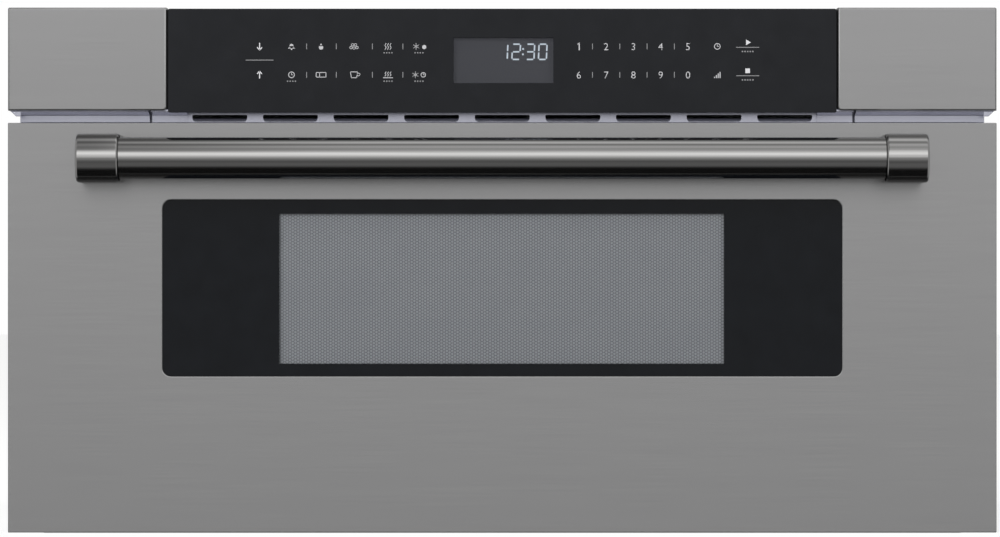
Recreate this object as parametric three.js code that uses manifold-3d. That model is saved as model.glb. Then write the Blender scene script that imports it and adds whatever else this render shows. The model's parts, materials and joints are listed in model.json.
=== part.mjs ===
// A built-in microwave drawer, 30 in class: a steel chassis that stands in a cabinet cut-out, a fixed control
// panel above, and a motor-driven drawer with a window and a bar handle, carried by two telescopic slides.
// Millimetres. +X is to the right, +Y to the back and +Z up, as one faces the appliance.
// y = 0 is the cabinet's face, which the chassis flange meets from the front.
// z = 0 is the base plate's underside.
import * as THREE from "three";
import { mergeVertices } from "three/addons/utils/BufferGeometryUtils.js";
import Module from "manifold-3d";

const wasm = await Module();
wasm.setup();

// ---------------------------------------------------------------- driving dimensions

// front faces
const FRONT_WIDTH = 759;
const FRONT_DEPTH = 42; // cabinet face to the front of the door and end caps
const FLOOR_GAP = 2; // under the door
const DOOR_HEIGHT = 315;
const VENT_GAP = 9; // between the door and the control panel
const PANEL_HEIGHT = 79;

// sheet metal and fits
const SHEET = 1.2;
const SEAT = 0.3; // left where one piece seats on another
const RUN = 0.4; // left between pieces that slide on each other
const PASS = 4; // left round what passes through the front frame

// chassis
const FRONT_OVERLAP = 24.5; // front beyond the chassis, on each side
const CHASSIS_DEPTH = 575;
const BASE_LIP = 6; // base plate ahead of the cabinet face
const BASE_UPTURN = 18;
const FLANGE_REVEAL = 6; // flange's side edges inside the front's
const FLANGE_DROP = 9; // flange's upper edge below the panel's
const FLANGE_ABOVE = 12; // above the chassis
const FLANGE_SCREW_RADIUS = 2.5;
const FLANGE_SCREW_INSET = 60; // from the flange's top and bottom
const TOP_FLANGE = 14;

// oven cavity and drawer tub
const SIDE_BAY = 116.6; // between the cavity and each side panel
const CAVITY_FLOOR = 68;
const CAVITY_BELOW_DOOR_TOP = 27;
const CAVITY_DEPTH = 470;
const CAVITY_LEG = 20;
const CAVITY_LEG_INSET = 36; // from the cavity's inner sides
const TUB_SIDE_GAP = 11;
const TUB_WALL = 1.5;
const TUB_LIFT = 6; // tub's underside above the cavity floor
const TUB_HEADROOM = 58; // from the tub's rim to the cavity's ceiling
const TUB_DEPTH = 440;
const TUB_RIM = 4;
const TRAY_THICKNESS = 5;
const TRAY_EDGE_GAP = 2;

// slides
const SLIDE_LENGTH = 450;
const SLIDE_HEIGHT = 46;
const SLIDE_DEPTH = 14;
const SLIDE_GAUGE = 1.6;
const SLIDE_LIP = 4;
const SLIDE_CAVITY_GAP = 9.8;
const SLIDE_Z = 48;
const SLIDE_START = 5;
const SLIDE_TAB = 3;
const BRACKET_SHEET = 2;
const BRACKET_FOOT = 22;
const BRACKET_ABOVE = 6;

// drawer drive
const GEAR_MODULE = 2;
const PINION_TEETH = 18;
const PRESSURE_ANGLE = THREE.MathUtils.degToRad(20);
const FLANK_PLAY = 0.15; // taken off each flank
const PINION_ADDENDUM = 2;
const PINION_DEDENDUM = 2.3;
const PINION_FACE = 10;
const PINION_Y = 30;
const SHAFT_RADIUS = 4;
const RACK_X = -100;
const RACK_PITCH_Z = 44;
const RACK_WIDTH = 12;
const RACK_BACK = 11; // solid bar above the tooth roots
const RACK_ADDENDUM = 1.8;
const RACK_DEDENDUM = 2.5;
const DRAWER_TRAVEL = 400;
const RACK_TAB = 20; // width of the rack's front end
const RACK_TAB_RISE = 2; // front end above the bar
const GUIDE_WALL = 3;
const GUIDE_LENGTH = 18;
const GUIDE_BEHIND_PINION = 26;
const MOTOR_RADIUS = 17;
const MOTOR_LENGTH = 70;
const GEARBOX_LENGTH = 28;
const GEARBOX_SIZE = 44;

// door
const SKIN_RETURN = 22;
const DOOR_FRAME_SHEET = 1.5;
const OPENING_WIDTH = 523; // cut-out in the door skin
const OPENING_HEIGHT = 136.5;
const OPENING_RADIUS = 6.5;
const OPENING_DROP = 127; // centre of the cut-out and of the window, below the door's upper edge
const GLASS_OVERLAP = 6; // door glass behind the skin
const GLASS_THICKNESS = 4;
const WINDOW_WIDTH = 343; // clear part of the glass
const WINDOW_HEIGHT = 116;
const SCREEN_MARGIN = 6.5;
const SCREEN_SHEET = 1;
const SCREEN_BEHIND_GLASS = 1;
const INNER_PANEL_SIDE_INSET = 79.5; // from the door's side edges
const INNER_PANEL_SHEET = 1.5;
const INNER_PANEL_DEPTH = 5;
const INNER_PANEL_INSET = 10; // from the door's lower and upper edges
const DOOR_SEAL_GAP = 4; // inner panel to the cabinet face
const INNER_WINDOW_THICKNESS = 2;

// handle
const HANDLE_BAR_RADIUS = 15.7;
const HANDLE_BAR_WALL = 1.5;
const HANDLE_POST_RADIUS = 18.5;
const HANDLE_POST_LENGTH = 32.8;
const HANDLE_INSET = 56; // posts' outer ends from the door's side edges
const HANDLE_OUT = 45; // bar's axis ahead of the door face
const HANDLE_DROP = 28.5; // bar's axis below the door's upper edge
const HANDLE_SOCKET = 10;
const HANDLE_BOSS_RADIUS = 9; // on the door frame, behind each post

// control panel
const END_CAP_WIDTH = 120.5;
const END_CAP_LIP = 5;
const CAP_GLASS_GAP = 1;
const CONTROL_GLASS_DROP = 0.8;
const CONTROL_GLASS_BACK = 1; // glass face behind the end caps' faces
const HOUSING_WALL = 2;
const DISPLAY_WIDTH = 76;
const DISPLAY_HEIGHT = 34;
const DISPLAY_X = 1;
const DISPLAY_BELOW_TOP = 40.5; // display's centre under the panel's upper edge
const BOARD_WIDTH = 420;
const BOARD_HEIGHT = 60;
const BOARD_SHEET = 1.6;
const BOARD_STANDOFF = 9;
const STUD_RADIUS = 3;
const STUD_INSET = 10; // from a board's edges
const RELAY = { x: 152, width: 25, height: 20, depth: 12 };
const CHIP = { x: -135, width: 30, height: 30, depth: 3 };
const WIRING_HOLE_WIDTH = 60; // in the front frame, behind the board
const WIRING_HOLE_HEIGHT = 24;

// vent strip under the control panel
const STRIP_INSET = 4.5; // from the ends of the front
const STRIP_FRONT = 36.5; // ahead of the cabinet face
const STRIP_WALL_Y = 20;
const STRIP_LEDGE_DROP = 0.4; // ledge's front edge below the panel's
const STRIP_LEDGE_SLOPE = 2.7;
const STRIP_WALL_SETBACK = 3; // of the wall's outer end from the ledge's
const STRIP_DOOR_GAP = 1.4; // above the door
const STRIP_SHEET = 1.6;
const GRILLE_MARGIN = 27.5; // beyond the slots' field
const GRILLE_SEAM = 1;
const VENT_FIELD_MARGIN = 4.3; // beyond the end slots
const VENT_SLOTS = 9;
const VENT_SLOT_WIDTH = 40.8;
const VENT_SLOT_HEIGHT = 4.3;
const VENT_SLOT_PITCH = 54.5;
const VENT_SLOT_RADIUS = 1.8;
const VENT_SLOT_RISE = 0.6; // above the strip's lower edge
const VENT_BLADE_DEPTH = 6;
const VENT_BLADE_RISE = 2.8;
const EXHAUST_HEIGHT = 6;
const DUCT_HEIGHT = 38;
const DUCT_DEPTH = 140;
const DUCT_WIDTH = 500;

// microwave feed
const FEED_Y = 235;
const FEED_RADIUS = 30;
const GUIDE_TUBE_HEIGHT = 30;
const GUIDE_TUBE_WIDTH = 90;
const GUIDE_TUBE_LEFT = 45; // beyond the stirrer's axis
const GUIDE_TUBE_END_GAP = 6; // to the side panel
const STIRRER_RADIUS = 88;
const STIRRER_BLADE = 1.5;
const STIRRER_BELOW = 9; // blades under the ceiling
const STIRRER_ARM = 26;
const STIRRER_SHAFT_RADIUS = 4;
const STIRRER_SHORT_ARM = 0.8; // of the long arms
const STIRRER_HUB_RISE = 2;
const STIRRER_COVER_SIZE = 210;
const STIRRER_COVER_DEPTH = 19;
const STIRRER_COVER_WALL = 1.5;
const STIRRER_MOTOR_SIZE = 48;
const STIRRER_MOTOR_HEIGHT = 22;
const STIRRER_MOTOR_LUG = { reach: 8, width: 12 };
const MAGNETRON_WIDTH = 80;
const MAGNETRON_FINS = 6;
const MAGNETRON_FIN_PITCH = 10;
const MAGNETRON_FIN = 2;
const MAGNETRON_CORE_RADIUS = 20;
const MAGNETRON_FILTER = 30;
const ANTENNA_RADIUS = 8;
const ANTENNA_HEIGHT = 20;

// power parts and cooling
const TRANSFORMER = { width: 84, depth: 80, height: 84, coil: 12 };
const CAPACITOR = { radius: 18, length: 52, height: 88, x: 150, terminal: 3, terminalHeight: 9 };
const REAR_PART_GAP = 12; // to the rear panel
const FAN_SIZE = 96;
const FAN_DEPTH = 28;
const FAN_Z = 205;
const FAN_BORE = 44;
const FAN_TIP_GAP = 2;
const FAN_BLADES = 5;
const FAN_HUB = 13;
const FAN_PITCH = THREE.MathUtils.degToRad(32);
const FAN_BLADE_SHEET = 1.6;
const FAN_CHORD = 17;
const FAN_SPIDER = 3;
const FAN_SPIDER_ARM = 8;
const FAN_MOTOR_RADIUS = 16;
const FAN_MOTOR_LENGTH = 26;
const FAN_SHAFT_RADIUS = 3;
const AIR_HOLE_RADIUS = 3.6;
const AIR_HOLE_PITCH = 12;
const SIDE_SLOTS = 7;
const SIDE_SLOT = { length: 70, height: 5, pitch: 14, fromTop: 45, fromBack: 140 };

// small fixed parts
const CORD_INSET = 105; // from the chassis's left side
const CORD_Z = 60;
const CORD_HOLE_RADIUS = 11;
const CORD_BORE_RADIUS = 7.5;
const GROMMET_FLANGE = 4;
const GROMMET_LIP = 3;
const HOOK_CAVITY_GAP = 14.8; // hook's middle beyond the cavity
const HOOK_DROP = 20; // hook's middle below the cavity's ceiling
const HOOK = { thickness: 3, height: 14, length: 36, barb: 4, barbLength: 12 };
const SWITCH = { width: 18, depth: 26, height: 24, arm: 2, foot: 6, gap: 11 };
const PLUNGER_RADIUS = 2.2;
const PLUNGER_SINK = 4;
const PLUNGER_TRAVEL = 1.5;
const LAMP = { size: 30, depth: 24, bulb: 7, y: 365, drop: 35 };
const FILTER = { depth: 110, height: 90, y: 350, z: 170, standoff: 7 };
const CHOKE = { radius: 14, height: 16, y: 330, z: 185 };
const FILTER_CAPACITOR = { size: 30, height: 18, y: 370, z: 170 };

// ---------------------------------------------------------------- worked-out places

const HALF_FRONT = FRONT_WIDTH / 2;
const HALF_CHASSIS = HALF_FRONT - FRONT_OVERLAP;
const HALF_FLANGE = HALF_FRONT - FLANGE_REVEAL;
const DOOR_BOTTOM = FLOOR_GAP;
const DOOR_TOP = DOOR_BOTTOM + DOOR_HEIGHT;
const PANEL_BOTTOM = DOOR_TOP + VENT_GAP;
const PANEL_TOP = PANEL_BOTTOM + PANEL_HEIGHT;
const FRONT_Y = -FRONT_DEPTH;
const FLANGE_FRONT = -SHEET;
const FLANGE_TOP = PANEL_TOP - FLANGE_DROP;
const CHASSIS_HEIGHT = FLANGE_TOP - FLANGE_ABOVE;
const BASE_TOP = SHEET + SEAT; // what stands on the base plate starts here
const SIDE_INNER = HALF_CHASSIS - SHEET; // inner face of a side panel
const REAR_INNER = CHASSIS_DEPTH - SHEET; // inner face of the rear panel
const CAVITY_OUTER = SIDE_INNER - SIDE_BAY; // outer face of a cavity side
const HALF_CAVITY = CAVITY_OUTER - SHEET;
const CAVITY_CEILING = DOOR_TOP - CAVITY_BELOW_DOOR_TOP;
const CAVITY_TOP = CAVITY_CEILING + SHEET;
const HALF_TUB = HALF_CAVITY - TUB_SIDE_GAP;
const TUB_BOTTOM = CAVITY_FLOOR + TUB_LIFT;
const TUB_TOP = CAVITY_CEILING - TUB_HEADROOM;
const SLIDE_X = CAVITY_OUTER + SLIDE_CAVITY_GAP + SLIDE_DEPTH; // outer face of the outer member's web
const OPENING_Z = DOOR_TOP - OPENING_DROP;
const HOOK_X = CAVITY_OUTER + HOOK_CAVITY_GAP;
const HOOK_Z = CAVITY_CEILING - HOOK_DROP;
const LAMP_Z = CAVITY_CEILING - LAMP.drop;
const CORD_X = -HALF_CHASSIS + CORD_INSET;
const INNER_PANEL_BACK = -DOOR_SEAL_GAP;
const DRAWER_FRONT = INNER_PANEL_BACK + SEAT; // tub, rails, rack and hooks start here, behind the inner panel
const PITCH_RADIUS = (GEAR_MODULE * PINION_TEETH) / 2;
const PINION_Z = RACK_PITCH_Z - PITCH_RADIUS;
const RACK_TOP = RACK_PITCH_Z + RACK_DEDENDUM + RACK_BACK;
const GUIDE_Y = PINION_Y + GUIDE_BEHIND_PINION;
const DISPLAY_Z = PANEL_TOP - DISPLAY_BELOW_TOP;
const CAP_INNER_X = HALF_FRONT - END_CAP_WIDTH;
const CONTROL_GLASS_FRONT = FRONT_Y + CONTROL_GLASS_BACK;
const HOUSING_FRONT = CONTROL_GLASS_FRONT + GLASS_THICKNESS + SEAT;
const HOUSING_BOTTOM = PANEL_BOTTOM + SHEET + SEAT;
const HOUSING_TOP = PANEL_TOP - SHEET - SEAT;
const STRIP_TOP = HOUSING_BOTTOM - SEAT;
const LEDGE_FRONT_Z = PANEL_BOTTOM - STRIP_LEDGE_DROP;
const LEDGE_BACK_Z = LEDGE_FRONT_Z - STRIP_LEDGE_SLOPE;
const STRIP_BOTTOM = DOOR_TOP + STRIP_DOOR_GAP;
const GUIDE_TUBE_BOTTOM = CAVITY_TOP + SEAT;
const GUIDE_TUBE_TOP = GUIDE_TUBE_BOTTOM + GUIDE_TUBE_HEIGHT;
const MAGNETRON_X = (CAVITY_OUTER + SIDE_INNER) / 2;
const HALF_VENT_FIELD = ((VENT_SLOTS - 1) * VENT_SLOT_PITCH + VENT_SLOT_WIDTH) / 2 + VENT_FIELD_MARGIN;
const HALF_GRILLE = HALF_VENT_FIELD + GRILLE_MARGIN;
const HALF_HANDLE = HALF_FRONT - HANDLE_INSET;
const HANDLE_Y = FRONT_Y - HANDLE_OUT;
const HANDLE_Z = DOOR_TOP - HANDLE_DROP;

// ---------------------------------------------------------------- shapes

const ROUND = 32; // sides of a round piece
const SMALL_ROUND = 16;
const HOLE_ROUND = 8;
const OVER = 1; // how far a cutting shape runs past what it cuts, and a joined shape into what it joins
const SLIVER = 0.01; // the least straight stretch left between two arcs
const range = (count) => Array.from({ length: count }, (_, i) => i);

function box(x0, x1, y0, y1, z0, z1) {
  const block = new THREE.BoxGeometry(x1 - x0, y1 - y0, z1 - z0);
  return block.translate((x0 + x1) / 2, (y0 + y1) / 2, (z0 + z1) / 2);
}

function rodX(radius, x0, x1, y, z, sides = ROUND) {
  const rod = new THREE.CylinderGeometry(radius, radius, x1 - x0, sides).rotateZ(-Math.PI / 2);
  return rod.translate((x0 + x1) / 2, y, z);
}

function rodY(radius, y0, y1, x, z, sides = ROUND) {
  return new THREE.CylinderGeometry(radius, radius, y1 - y0, sides).translate(x, (y0 + y1) / 2, z);
}

function rodZ(radius, z0, z1, x, y, sides = ROUND) {
  const rod = new THREE.CylinderGeometry(radius, radius, z1 - z0, sides).rotateX(Math.PI / 2);
  return rod.translate(x, y, (z0 + z1) / 2);
}

function polygon(points) {
  return new THREE.Shape(points.map(([u, v]) => new THREE.Vector2(u, v)));
}

function roundedRect(width, height, radius) {
  const [w, h] = [width / 2 - radius, height / 2 - radius];
  return new THREE.Shape()
    .absarc(w, h, radius, 0, Math.PI / 2)
    .absarc(-w, h, radius, Math.PI / 2, Math.PI)
    .absarc(-w, -h, radius, Math.PI, 1.5 * Math.PI)
    .absarc(w, -h, radius, 1.5 * Math.PI, 2 * Math.PI);
}

// A profile drawn in X and Z, extruded from y0 to y1.
function alongY(shape, y0, y1, curveSegments = 6) {
  const options = { depth: y1 - y0, bevelEnabled: false, curveSegments };
  return new THREE.ExtrudeGeometry(shape, options).rotateX(Math.PI / 2).translate(0, y1, 0);
}

// A profile drawn in Y and Z, extruded from x0 to x1.
function alongX(shape, x0, x1, curveSegments = 12) {
  const options = { depth: x1 - x0, bevelEnabled: false, curveSegments };
  const turn = new THREE.Matrix4().makeBasis(
    new THREE.Vector3(0, 1, 0),
    new THREE.Vector3(0, 0, 1),
    new THREE.Vector3(1, 0, 0),
  );
  return new THREE.ExtrudeGeometry(shape, options).applyMatrix4(turn).translate(x0, 0, 0);
}

function toSolid(geometry) {
  const bare = geometry.index ? geometry.toNonIndexed() : geometry.clone();
  bare.deleteAttribute("normal");
  bare.deleteAttribute("uv");
  const merged = mergeVertices(bare, 1e-4);
  const vertProperties = merged.attributes.position.array;
  const triVerts = new Uint32Array(merged.index.array);
  return new wasm.Manifold(new wasm.Mesh({ numProp: 3, vertProperties, triVerts }));
}

function toGeometry(solid) {
  const mesh = solid.getMesh();
  const geometry = new THREE.BufferGeometry();
  geometry.setAttribute("position", new THREE.BufferAttribute(new Float32Array(mesh.vertProperties), 3));
  geometry.setIndex(new THREE.BufferAttribute(new Uint32Array(mesh.triVerts), 1));
  return geometry;
}

function join(...shapes) {
  return toGeometry(shapes.flat().map(toSolid).reduce((a, b) => a.add(b)));
}

function cut(shape, ...tools) {
  return toGeometry(tools.flat().map(toSolid).reduce((a, b) => a.subtract(b), toSolid(shape)));
}

// A copy on the other side of the plane x = 0, with its faces still pointing out.
function mirrored(geometry) {
  const copy = geometry.clone().applyMatrix4(new THREE.Matrix4().makeScale(-1, 1, 1));
  copy.setIndex([...copy.index.array].reverse());
  return copy;
}

// ---------------------------------------------------------------- materials

function finish(color, roughness, metalness) {
  return new THREE.MeshStandardMaterial({ color, roughness, metalness });
}

const brushedSteel = finish(0x9a9a9a, 0.35, 1);
const handleSteel = finish(0xb0b0ae, 0.22, 1);
const paintedStrip = finish(0xa2a5b0, 0.5, 0.3);
const zincSheet = finish(0xa9adb0, 0.5, 0.9);
const enamel = finish(0xb9bcc0, 0.4, 0.2);
const blackGlass = finish(0x2b2c2e, 0.1, 0);
const darkGlass = finish(0x46474b, 0.15, 0);
const screenSteel = finish(0x70747a, 0.5, 0.6);
const ceramic = finish(0xdcdcd8, 0.2, 0);
const blackPlastic = finish(0x232427, 0.6, 0);
const whitePlastic = finish(0xe2e2de, 0.5, 0);
const boardGreen = finish(0x1f5b3a, 0.6, 0);
const copper = finish(0x8a4b26, 0.45, 0.8);
const gearNylon = finish(0xe8e4d8, 0.55, 0);

// ---------------------------------------------------------------- assembly

const microwaveDrawer = new THREE.Group();
const cabinet = new THREE.Group();
const drawer = new THREE.Group();
microwaveDrawer.add(cabinet, drawer);

function place(parent, name, geometry, material, x = 0, y = 0, z = 0) {
  const mesh = new THREE.Mesh(geometry, material);
  mesh.name = name;
  mesh.position.set(x, y, z);
  parent.add(mesh);
}

// The right-hand piece as drawn, and its mirror image on the left.
function placePair(parent, name, geometry, material) {
  const right = toGeometry(toSolid(geometry));
  place(parent, `right_${name}`, right, material);
  place(parent, `left_${name}`, mirrored(right), material);
}

// ---------------------------------------------------------------- chassis

function basePlate() {
  const plate = box(-HALF_CHASSIS, HALF_CHASSIS, -BASE_LIP, CHASSIS_DEPTH, 0, SHEET);
  const [outer, inner] = [SIDE_INNER - SEAT, SIDE_INNER - SEAT - SHEET];
  const rear = REAR_INNER - SEAT;
  const edges = box(-outer, outer, SLIDE_START, rear, SHEET / 2, BASE_UPTURN);
  const inside = box(-inner, inner, SLIDE_START - OVER, rear - SHEET, 0, BASE_UPTURN + OVER);
  return join(plate, cut(edges, inside));
}

function sidePanel() {
  const top = CHASSIS_HEIGHT - SHEET - SEAT;
  const wall = box(SIDE_INNER, HALF_CHASSIS, SEAT, CHASSIS_DEPTH, BASE_TOP, top);
  const flange = box(SIDE_INNER - TOP_FLANGE, HALF_CHASSIS, SEAT, REAR_INNER - SEAT, top - SHEET, top);
  const slots = range(SIDE_SLOTS).map((i) => {
    const z = CHASSIS_HEIGHT - SIDE_SLOT.fromTop - i * SIDE_SLOT.pitch;
    const y = CHASSIS_DEPTH - SIDE_SLOT.fromBack;
    return box(SIDE_INNER - OVER, HALF_CHASSIS + OVER, y, y + SIDE_SLOT.length, z, z + SIDE_SLOT.height);
  });
  return cut(join(wall, flange), slots);
}

// Holes in staggered rows, inside the fan's bore.
function airHoles() {
  const reach = FAN_BORE - AIR_HOLE_RADIUS;
  const rise = (AIR_HOLE_PITCH * Math.sqrt(3)) / 2;
  const [rows, columns] = [Math.floor(reach / rise), Math.ceil(reach / AIR_HOLE_PITCH)];
  const places = range(2 * rows + 1).flatMap((i) => {
    const row = i - rows;
    return range(2 * columns + 1).map((j) => [(j - columns + (row % 2) / 2) * AIR_HOLE_PITCH, row * rise]);
  });
  const [y0, y1] = [REAR_INNER - OVER, CHASSIS_DEPTH + OVER];
  return places
    .filter(([x, z]) => Math.hypot(x, z) <= reach)
    .map(([x, z]) => rodY(AIR_HOLE_RADIUS, y0, y1, MAGNETRON_X + x, FAN_Z + z, HOLE_ROUND));
}

function rearPanel() {
  const half = SIDE_INNER - SEAT;
  const sheet = box(-half, half, REAR_INNER, CHASSIS_DEPTH, BASE_TOP, CHASSIS_HEIGHT - SHEET - SEAT);
  const [y0, y1] = [REAR_INNER - OVER, CHASSIS_DEPTH + OVER];
  const cordHole = rodY(CORD_HOLE_RADIUS, y0, y1, CORD_X, CORD_Z, SMALL_ROUND);
  return cut(sheet, cordHole, airHoles());
}

function cordGrommet() {
  const body = CORD_HOLE_RADIUS - SEAT;
  const flange = CORD_HOLE_RADIUS + GROMMET_FLANGE;
  const profile = [
    [CORD_BORE_RADIUS, -GROMMET_LIP - SEAT],
    [flange, -GROMMET_LIP - SEAT],
    [flange, -SEAT],
    [body, -SEAT],
    [body, SHEET + SEAT],
    [flange, SHEET + SEAT],
    [flange, SHEET + SEAT + GROMMET_LIP],
    [CORD_BORE_RADIUS, SHEET + SEAT + GROMMET_LIP],
  ];
  const closed = [...profile, profile[0]].map(([r, y]) => new THREE.Vector2(r, y));
  return new THREE.LatheGeometry(closed, SMALL_ROUND);
}

// The plate behind the door and the control panel. Its edges are the flange that meets the cabinet's face.
function frontFrame() {
  const plate = box(-HALF_FLANGE, HALF_FLANGE, FLANGE_FRONT, 0, BASE_TOP, FLANGE_TOP);
  const through = (x0, x1, z0, z1) => box(x0, x1, FLANGE_FRONT - OVER, OVER, z0, z1);
  const slideReach = SLIDE_HEIGHT / 2 + PASS;
  const [slideInner, slideOuter] = [SLIDE_X - SLIDE_DEPTH - PASS, SLIDE_X + PASS];
  const [hookInner, hookOuter] = [HOOK_X - PASS, HOOK_X + PASS];
  const hookTop = HOOK_Z + HOOK.height / 2 + HOOK.barb + PASS;
  const hookBottom = HOOK_Z - HOOK.height / 2 - PASS;
  const rackReach = RACK_TAB / 2 + PASS;
  const [rackBottom, rackTop] = [RACK_PITCH_Z - RACK_ADDENDUM - PASS, RACK_TOP + RACK_TAB_RISE + PASS];
  const screwX = (HALF_CHASSIS + HALF_FLANGE) / 2;
  const screws = [-screwX, screwX].flatMap((x) =>
    [BASE_TOP + FLANGE_SCREW_INSET, FLANGE_TOP - FLANGE_SCREW_INSET].map((z) =>
      rodY(FLANGE_SCREW_RADIUS, FLANGE_FRONT - OVER, OVER, x, z, HOLE_ROUND),
    ),
  );
  return cut(
    plate,
    through(-HALF_CAVITY, HALF_CAVITY, CAVITY_FLOOR, CAVITY_CEILING),
    through(slideInner, slideOuter, SLIDE_Z - slideReach, SLIDE_Z + slideReach),
    through(-slideOuter, -slideInner, SLIDE_Z - slideReach, SLIDE_Z + slideReach),
    through(RACK_X - rackReach, RACK_X + rackReach, rackBottom, rackTop),
    through(hookInner, hookOuter, hookBottom, hookTop),
    through(-hookOuter, -hookInner, hookBottom, hookTop),
    through(-HALF_VENT_FIELD, HALF_VENT_FIELD, STRIP_BOTTOM, STRIP_BOTTOM + EXHAUST_HEIGHT),
    through(-WIRING_HOLE_WIDTH / 2, WIRING_HOLE_WIDTH / 2, DISPLAY_Z - WIRING_HOLE_HEIGHT, DISPLAY_Z),
    screws,
  );
}

function ovenCavity() {
  const outer = CAVITY_OUTER;
  const back = SEAT + CAVITY_DEPTH;
  const shell = box(-outer, outer, SEAT, back, CAVITY_FLOOR - SHEET, CAVITY_TOP);
  const inside = box(-HALF_CAVITY, HALF_CAVITY, -OVER, back - SHEET, CAVITY_FLOOR, CAVITY_CEILING);
  const feed = rodZ(FEED_RADIUS, CAVITY_CEILING - OVER, CAVITY_TOP + OVER, 0, FEED_Y);
  const lampHole = rodX(LAMP.bulb + SEAT, -outer - OVER, -HALF_CAVITY + OVER, LAMP.y, LAMP_Z, SMALL_ROUND);
  const airIn = range(6).flatMap((i) =>
    range(3).map((j) => {
      const [y, z] = [LAMP.y + i * AIR_HOLE_PITCH, LAMP_Z - j * AIR_HOLE_PITCH];
      return rodX(AIR_HOLE_RADIUS, HALF_CAVITY - OVER, outer + OVER, y, z, HOLE_ROUND);
    }),
  );
  const legs = [-1, 1].map((side) => {
    const x = side * (HALF_CAVITY - CAVITY_LEG_INSET - CAVITY_LEG / 2);
    const half = CAVITY_LEG / 2;
    const [legFront, legBack] = [back - 2 * CAVITY_LEG, back - CAVITY_LEG];
    return box(x - half, x + half, legFront, legBack, BASE_TOP, CAVITY_FLOOR - SHEET / 2);
  });
  return cut(join(shell, legs), inside, feed, lampHole, airIn);
}

place(cabinet, "base_plate", basePlate(), zincSheet);
placePair(cabinet, "side_panel", sidePanel(), zincSheet);
place(cabinet, "rear_panel", rearPanel(), zincSheet);
place(cabinet, "cord_grommet", cordGrommet(), blackPlastic, CORD_X, REAR_INNER, CORD_Z);
place(
  cabinet,
  "top_cover",
  box(-HALF_CHASSIS, HALF_CHASSIS, SEAT, CHASSIS_DEPTH, CHASSIS_HEIGHT - SHEET, CHASSIS_HEIGHT),
  zincSheet,
);
place(cabinet, "front_frame", frontFrame(), paintedStrip);
place(cabinet, "oven_cavity", ovenCavity(), enamel);

// ---------------------------------------------------------------- telescopic slides

// One member of a slide, in X and Z about the slide's centre. Each member nests in the one outside it.
function slideProfile(level, lip) {
  const inset = level * (SLIDE_GAUGE + RUN);
  const half = SLIDE_HEIGHT / 2 - inset;
  const [web, mouth] = [SLIDE_X - inset, SLIDE_X - SLIDE_DEPTH + inset];
  const [webInner, mouthInner] = [web - SLIDE_GAUGE, mouth + SLIDE_GAUGE];
  const flange = half - SLIDE_GAUGE;
  const lipEnd = half - lip;
  const lipPoints = [
    [mouth, -lipEnd],
    [mouthInner, -lipEnd],
    [mouthInner, -flange],
  ];
  const lower = [[mouth, -half], ...(lip ? lipPoints : [[mouth, -flange]])];
  const upper = lower.map(([x, z]) => [x, -z]).reverse();
  return polygon([[web, half], [web, -half], ...lower, [webInner, -flange], [webInner, flange], ...upper]);
}

function innerRail() {
  const rail = alongY(slideProfile(2, 0), DRAWER_FRONT, SLIDE_START + SLIDE_LENGTH);
  const half = SLIDE_HEIGHT / 2 - SLIDE_GAUGE - RUN;
  const tab = box(SLIDE_X - SLIDE_DEPTH, SLIDE_X, DRAWER_FRONT, DRAWER_FRONT + SLIDE_TAB, -half, half);
  return join(rail, tab).translate(0, 0, SLIDE_Z);
}

function slideMember(level) {
  const profile = slideProfile(level, SLIDE_LIP);
  return alongY(profile, SLIDE_START, SLIDE_START + SLIDE_LENGTH).translate(0, 0, SLIDE_Z);
}

function slideBracket() {
  const x = SLIDE_X + SEAT;
  const [front, back] = [SLIDE_START, SLIDE_START + SLIDE_LENGTH];
  const top = SLIDE_Z + SLIDE_HEIGHT / 2 + BRACKET_ABOVE;
  return join(
    box(x, x + BRACKET_SHEET, front, back, BASE_TOP, top),
    box(x, x + BRACKET_FOOT, front, back, BASE_TOP, BASE_TOP + BRACKET_SHEET),
  );
}

placePair(cabinet, "slide_bracket", slideBracket(), zincSheet);
placePair(cabinet, "outer_rail", slideMember(0), zincSheet);
placePair(microwaveDrawer, "middle_rail", slideMember(1), zincSheet);
placePair(drawer, "inner_rail", innerRail(), zincSheet);

// ---------------------------------------------------------------- drawer drive: rack, pinion and gear motor

const involute = (angle) => Math.tan(angle) - angle;

// The involute pinion about its own axis, drawn in Y and Z with a tooth pointing up.
function pinionShape() {
  const base = PITCH_RADIUS * Math.cos(PRESSURE_ANGLE);
  const tip = PITCH_RADIUS + PINION_ADDENDUM;
  const root = PITCH_RADIUS - PINION_DEDENDUM;
  const halfTooth = Math.PI / (2 * PINION_TEETH) - FLANK_PLAY / PITCH_RADIUS;
  const halfAngle = (r) => halfTooth + involute(PRESSURE_ANGLE) - involute(Math.acos(Math.min(1, base / r)));
  const steps = 5;
  const flank = range(steps + 1).map((i) => base + ((tip - base) * i) / steps);
  const radii = [root, ...flank];
  const points = range(PINION_TEETH).flatMap((tooth) => {
    const centre = Math.PI / 2 - (tooth * 2 * Math.PI) / PINION_TEETH;
    const side = (sign) => radii.map((r) => [r, centre + sign * halfAngle(Math.max(r, base))]);
    return [...side(1), ...side(-1).reverse()];
  });
  return polygon(points.map(([r, a]) => [r * Math.cos(a), r * Math.sin(a)]).reverse());
}

function pinion() {
  const gear = alongX(pinionShape(), -PINION_FACE / 2, PINION_FACE / 2);
  return join(gear, rodX(SHAFT_RADIUS, -PINION_FACE, PINION_FACE + BRACKET_SHEET, 0, 0, SMALL_ROUND));
}

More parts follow.
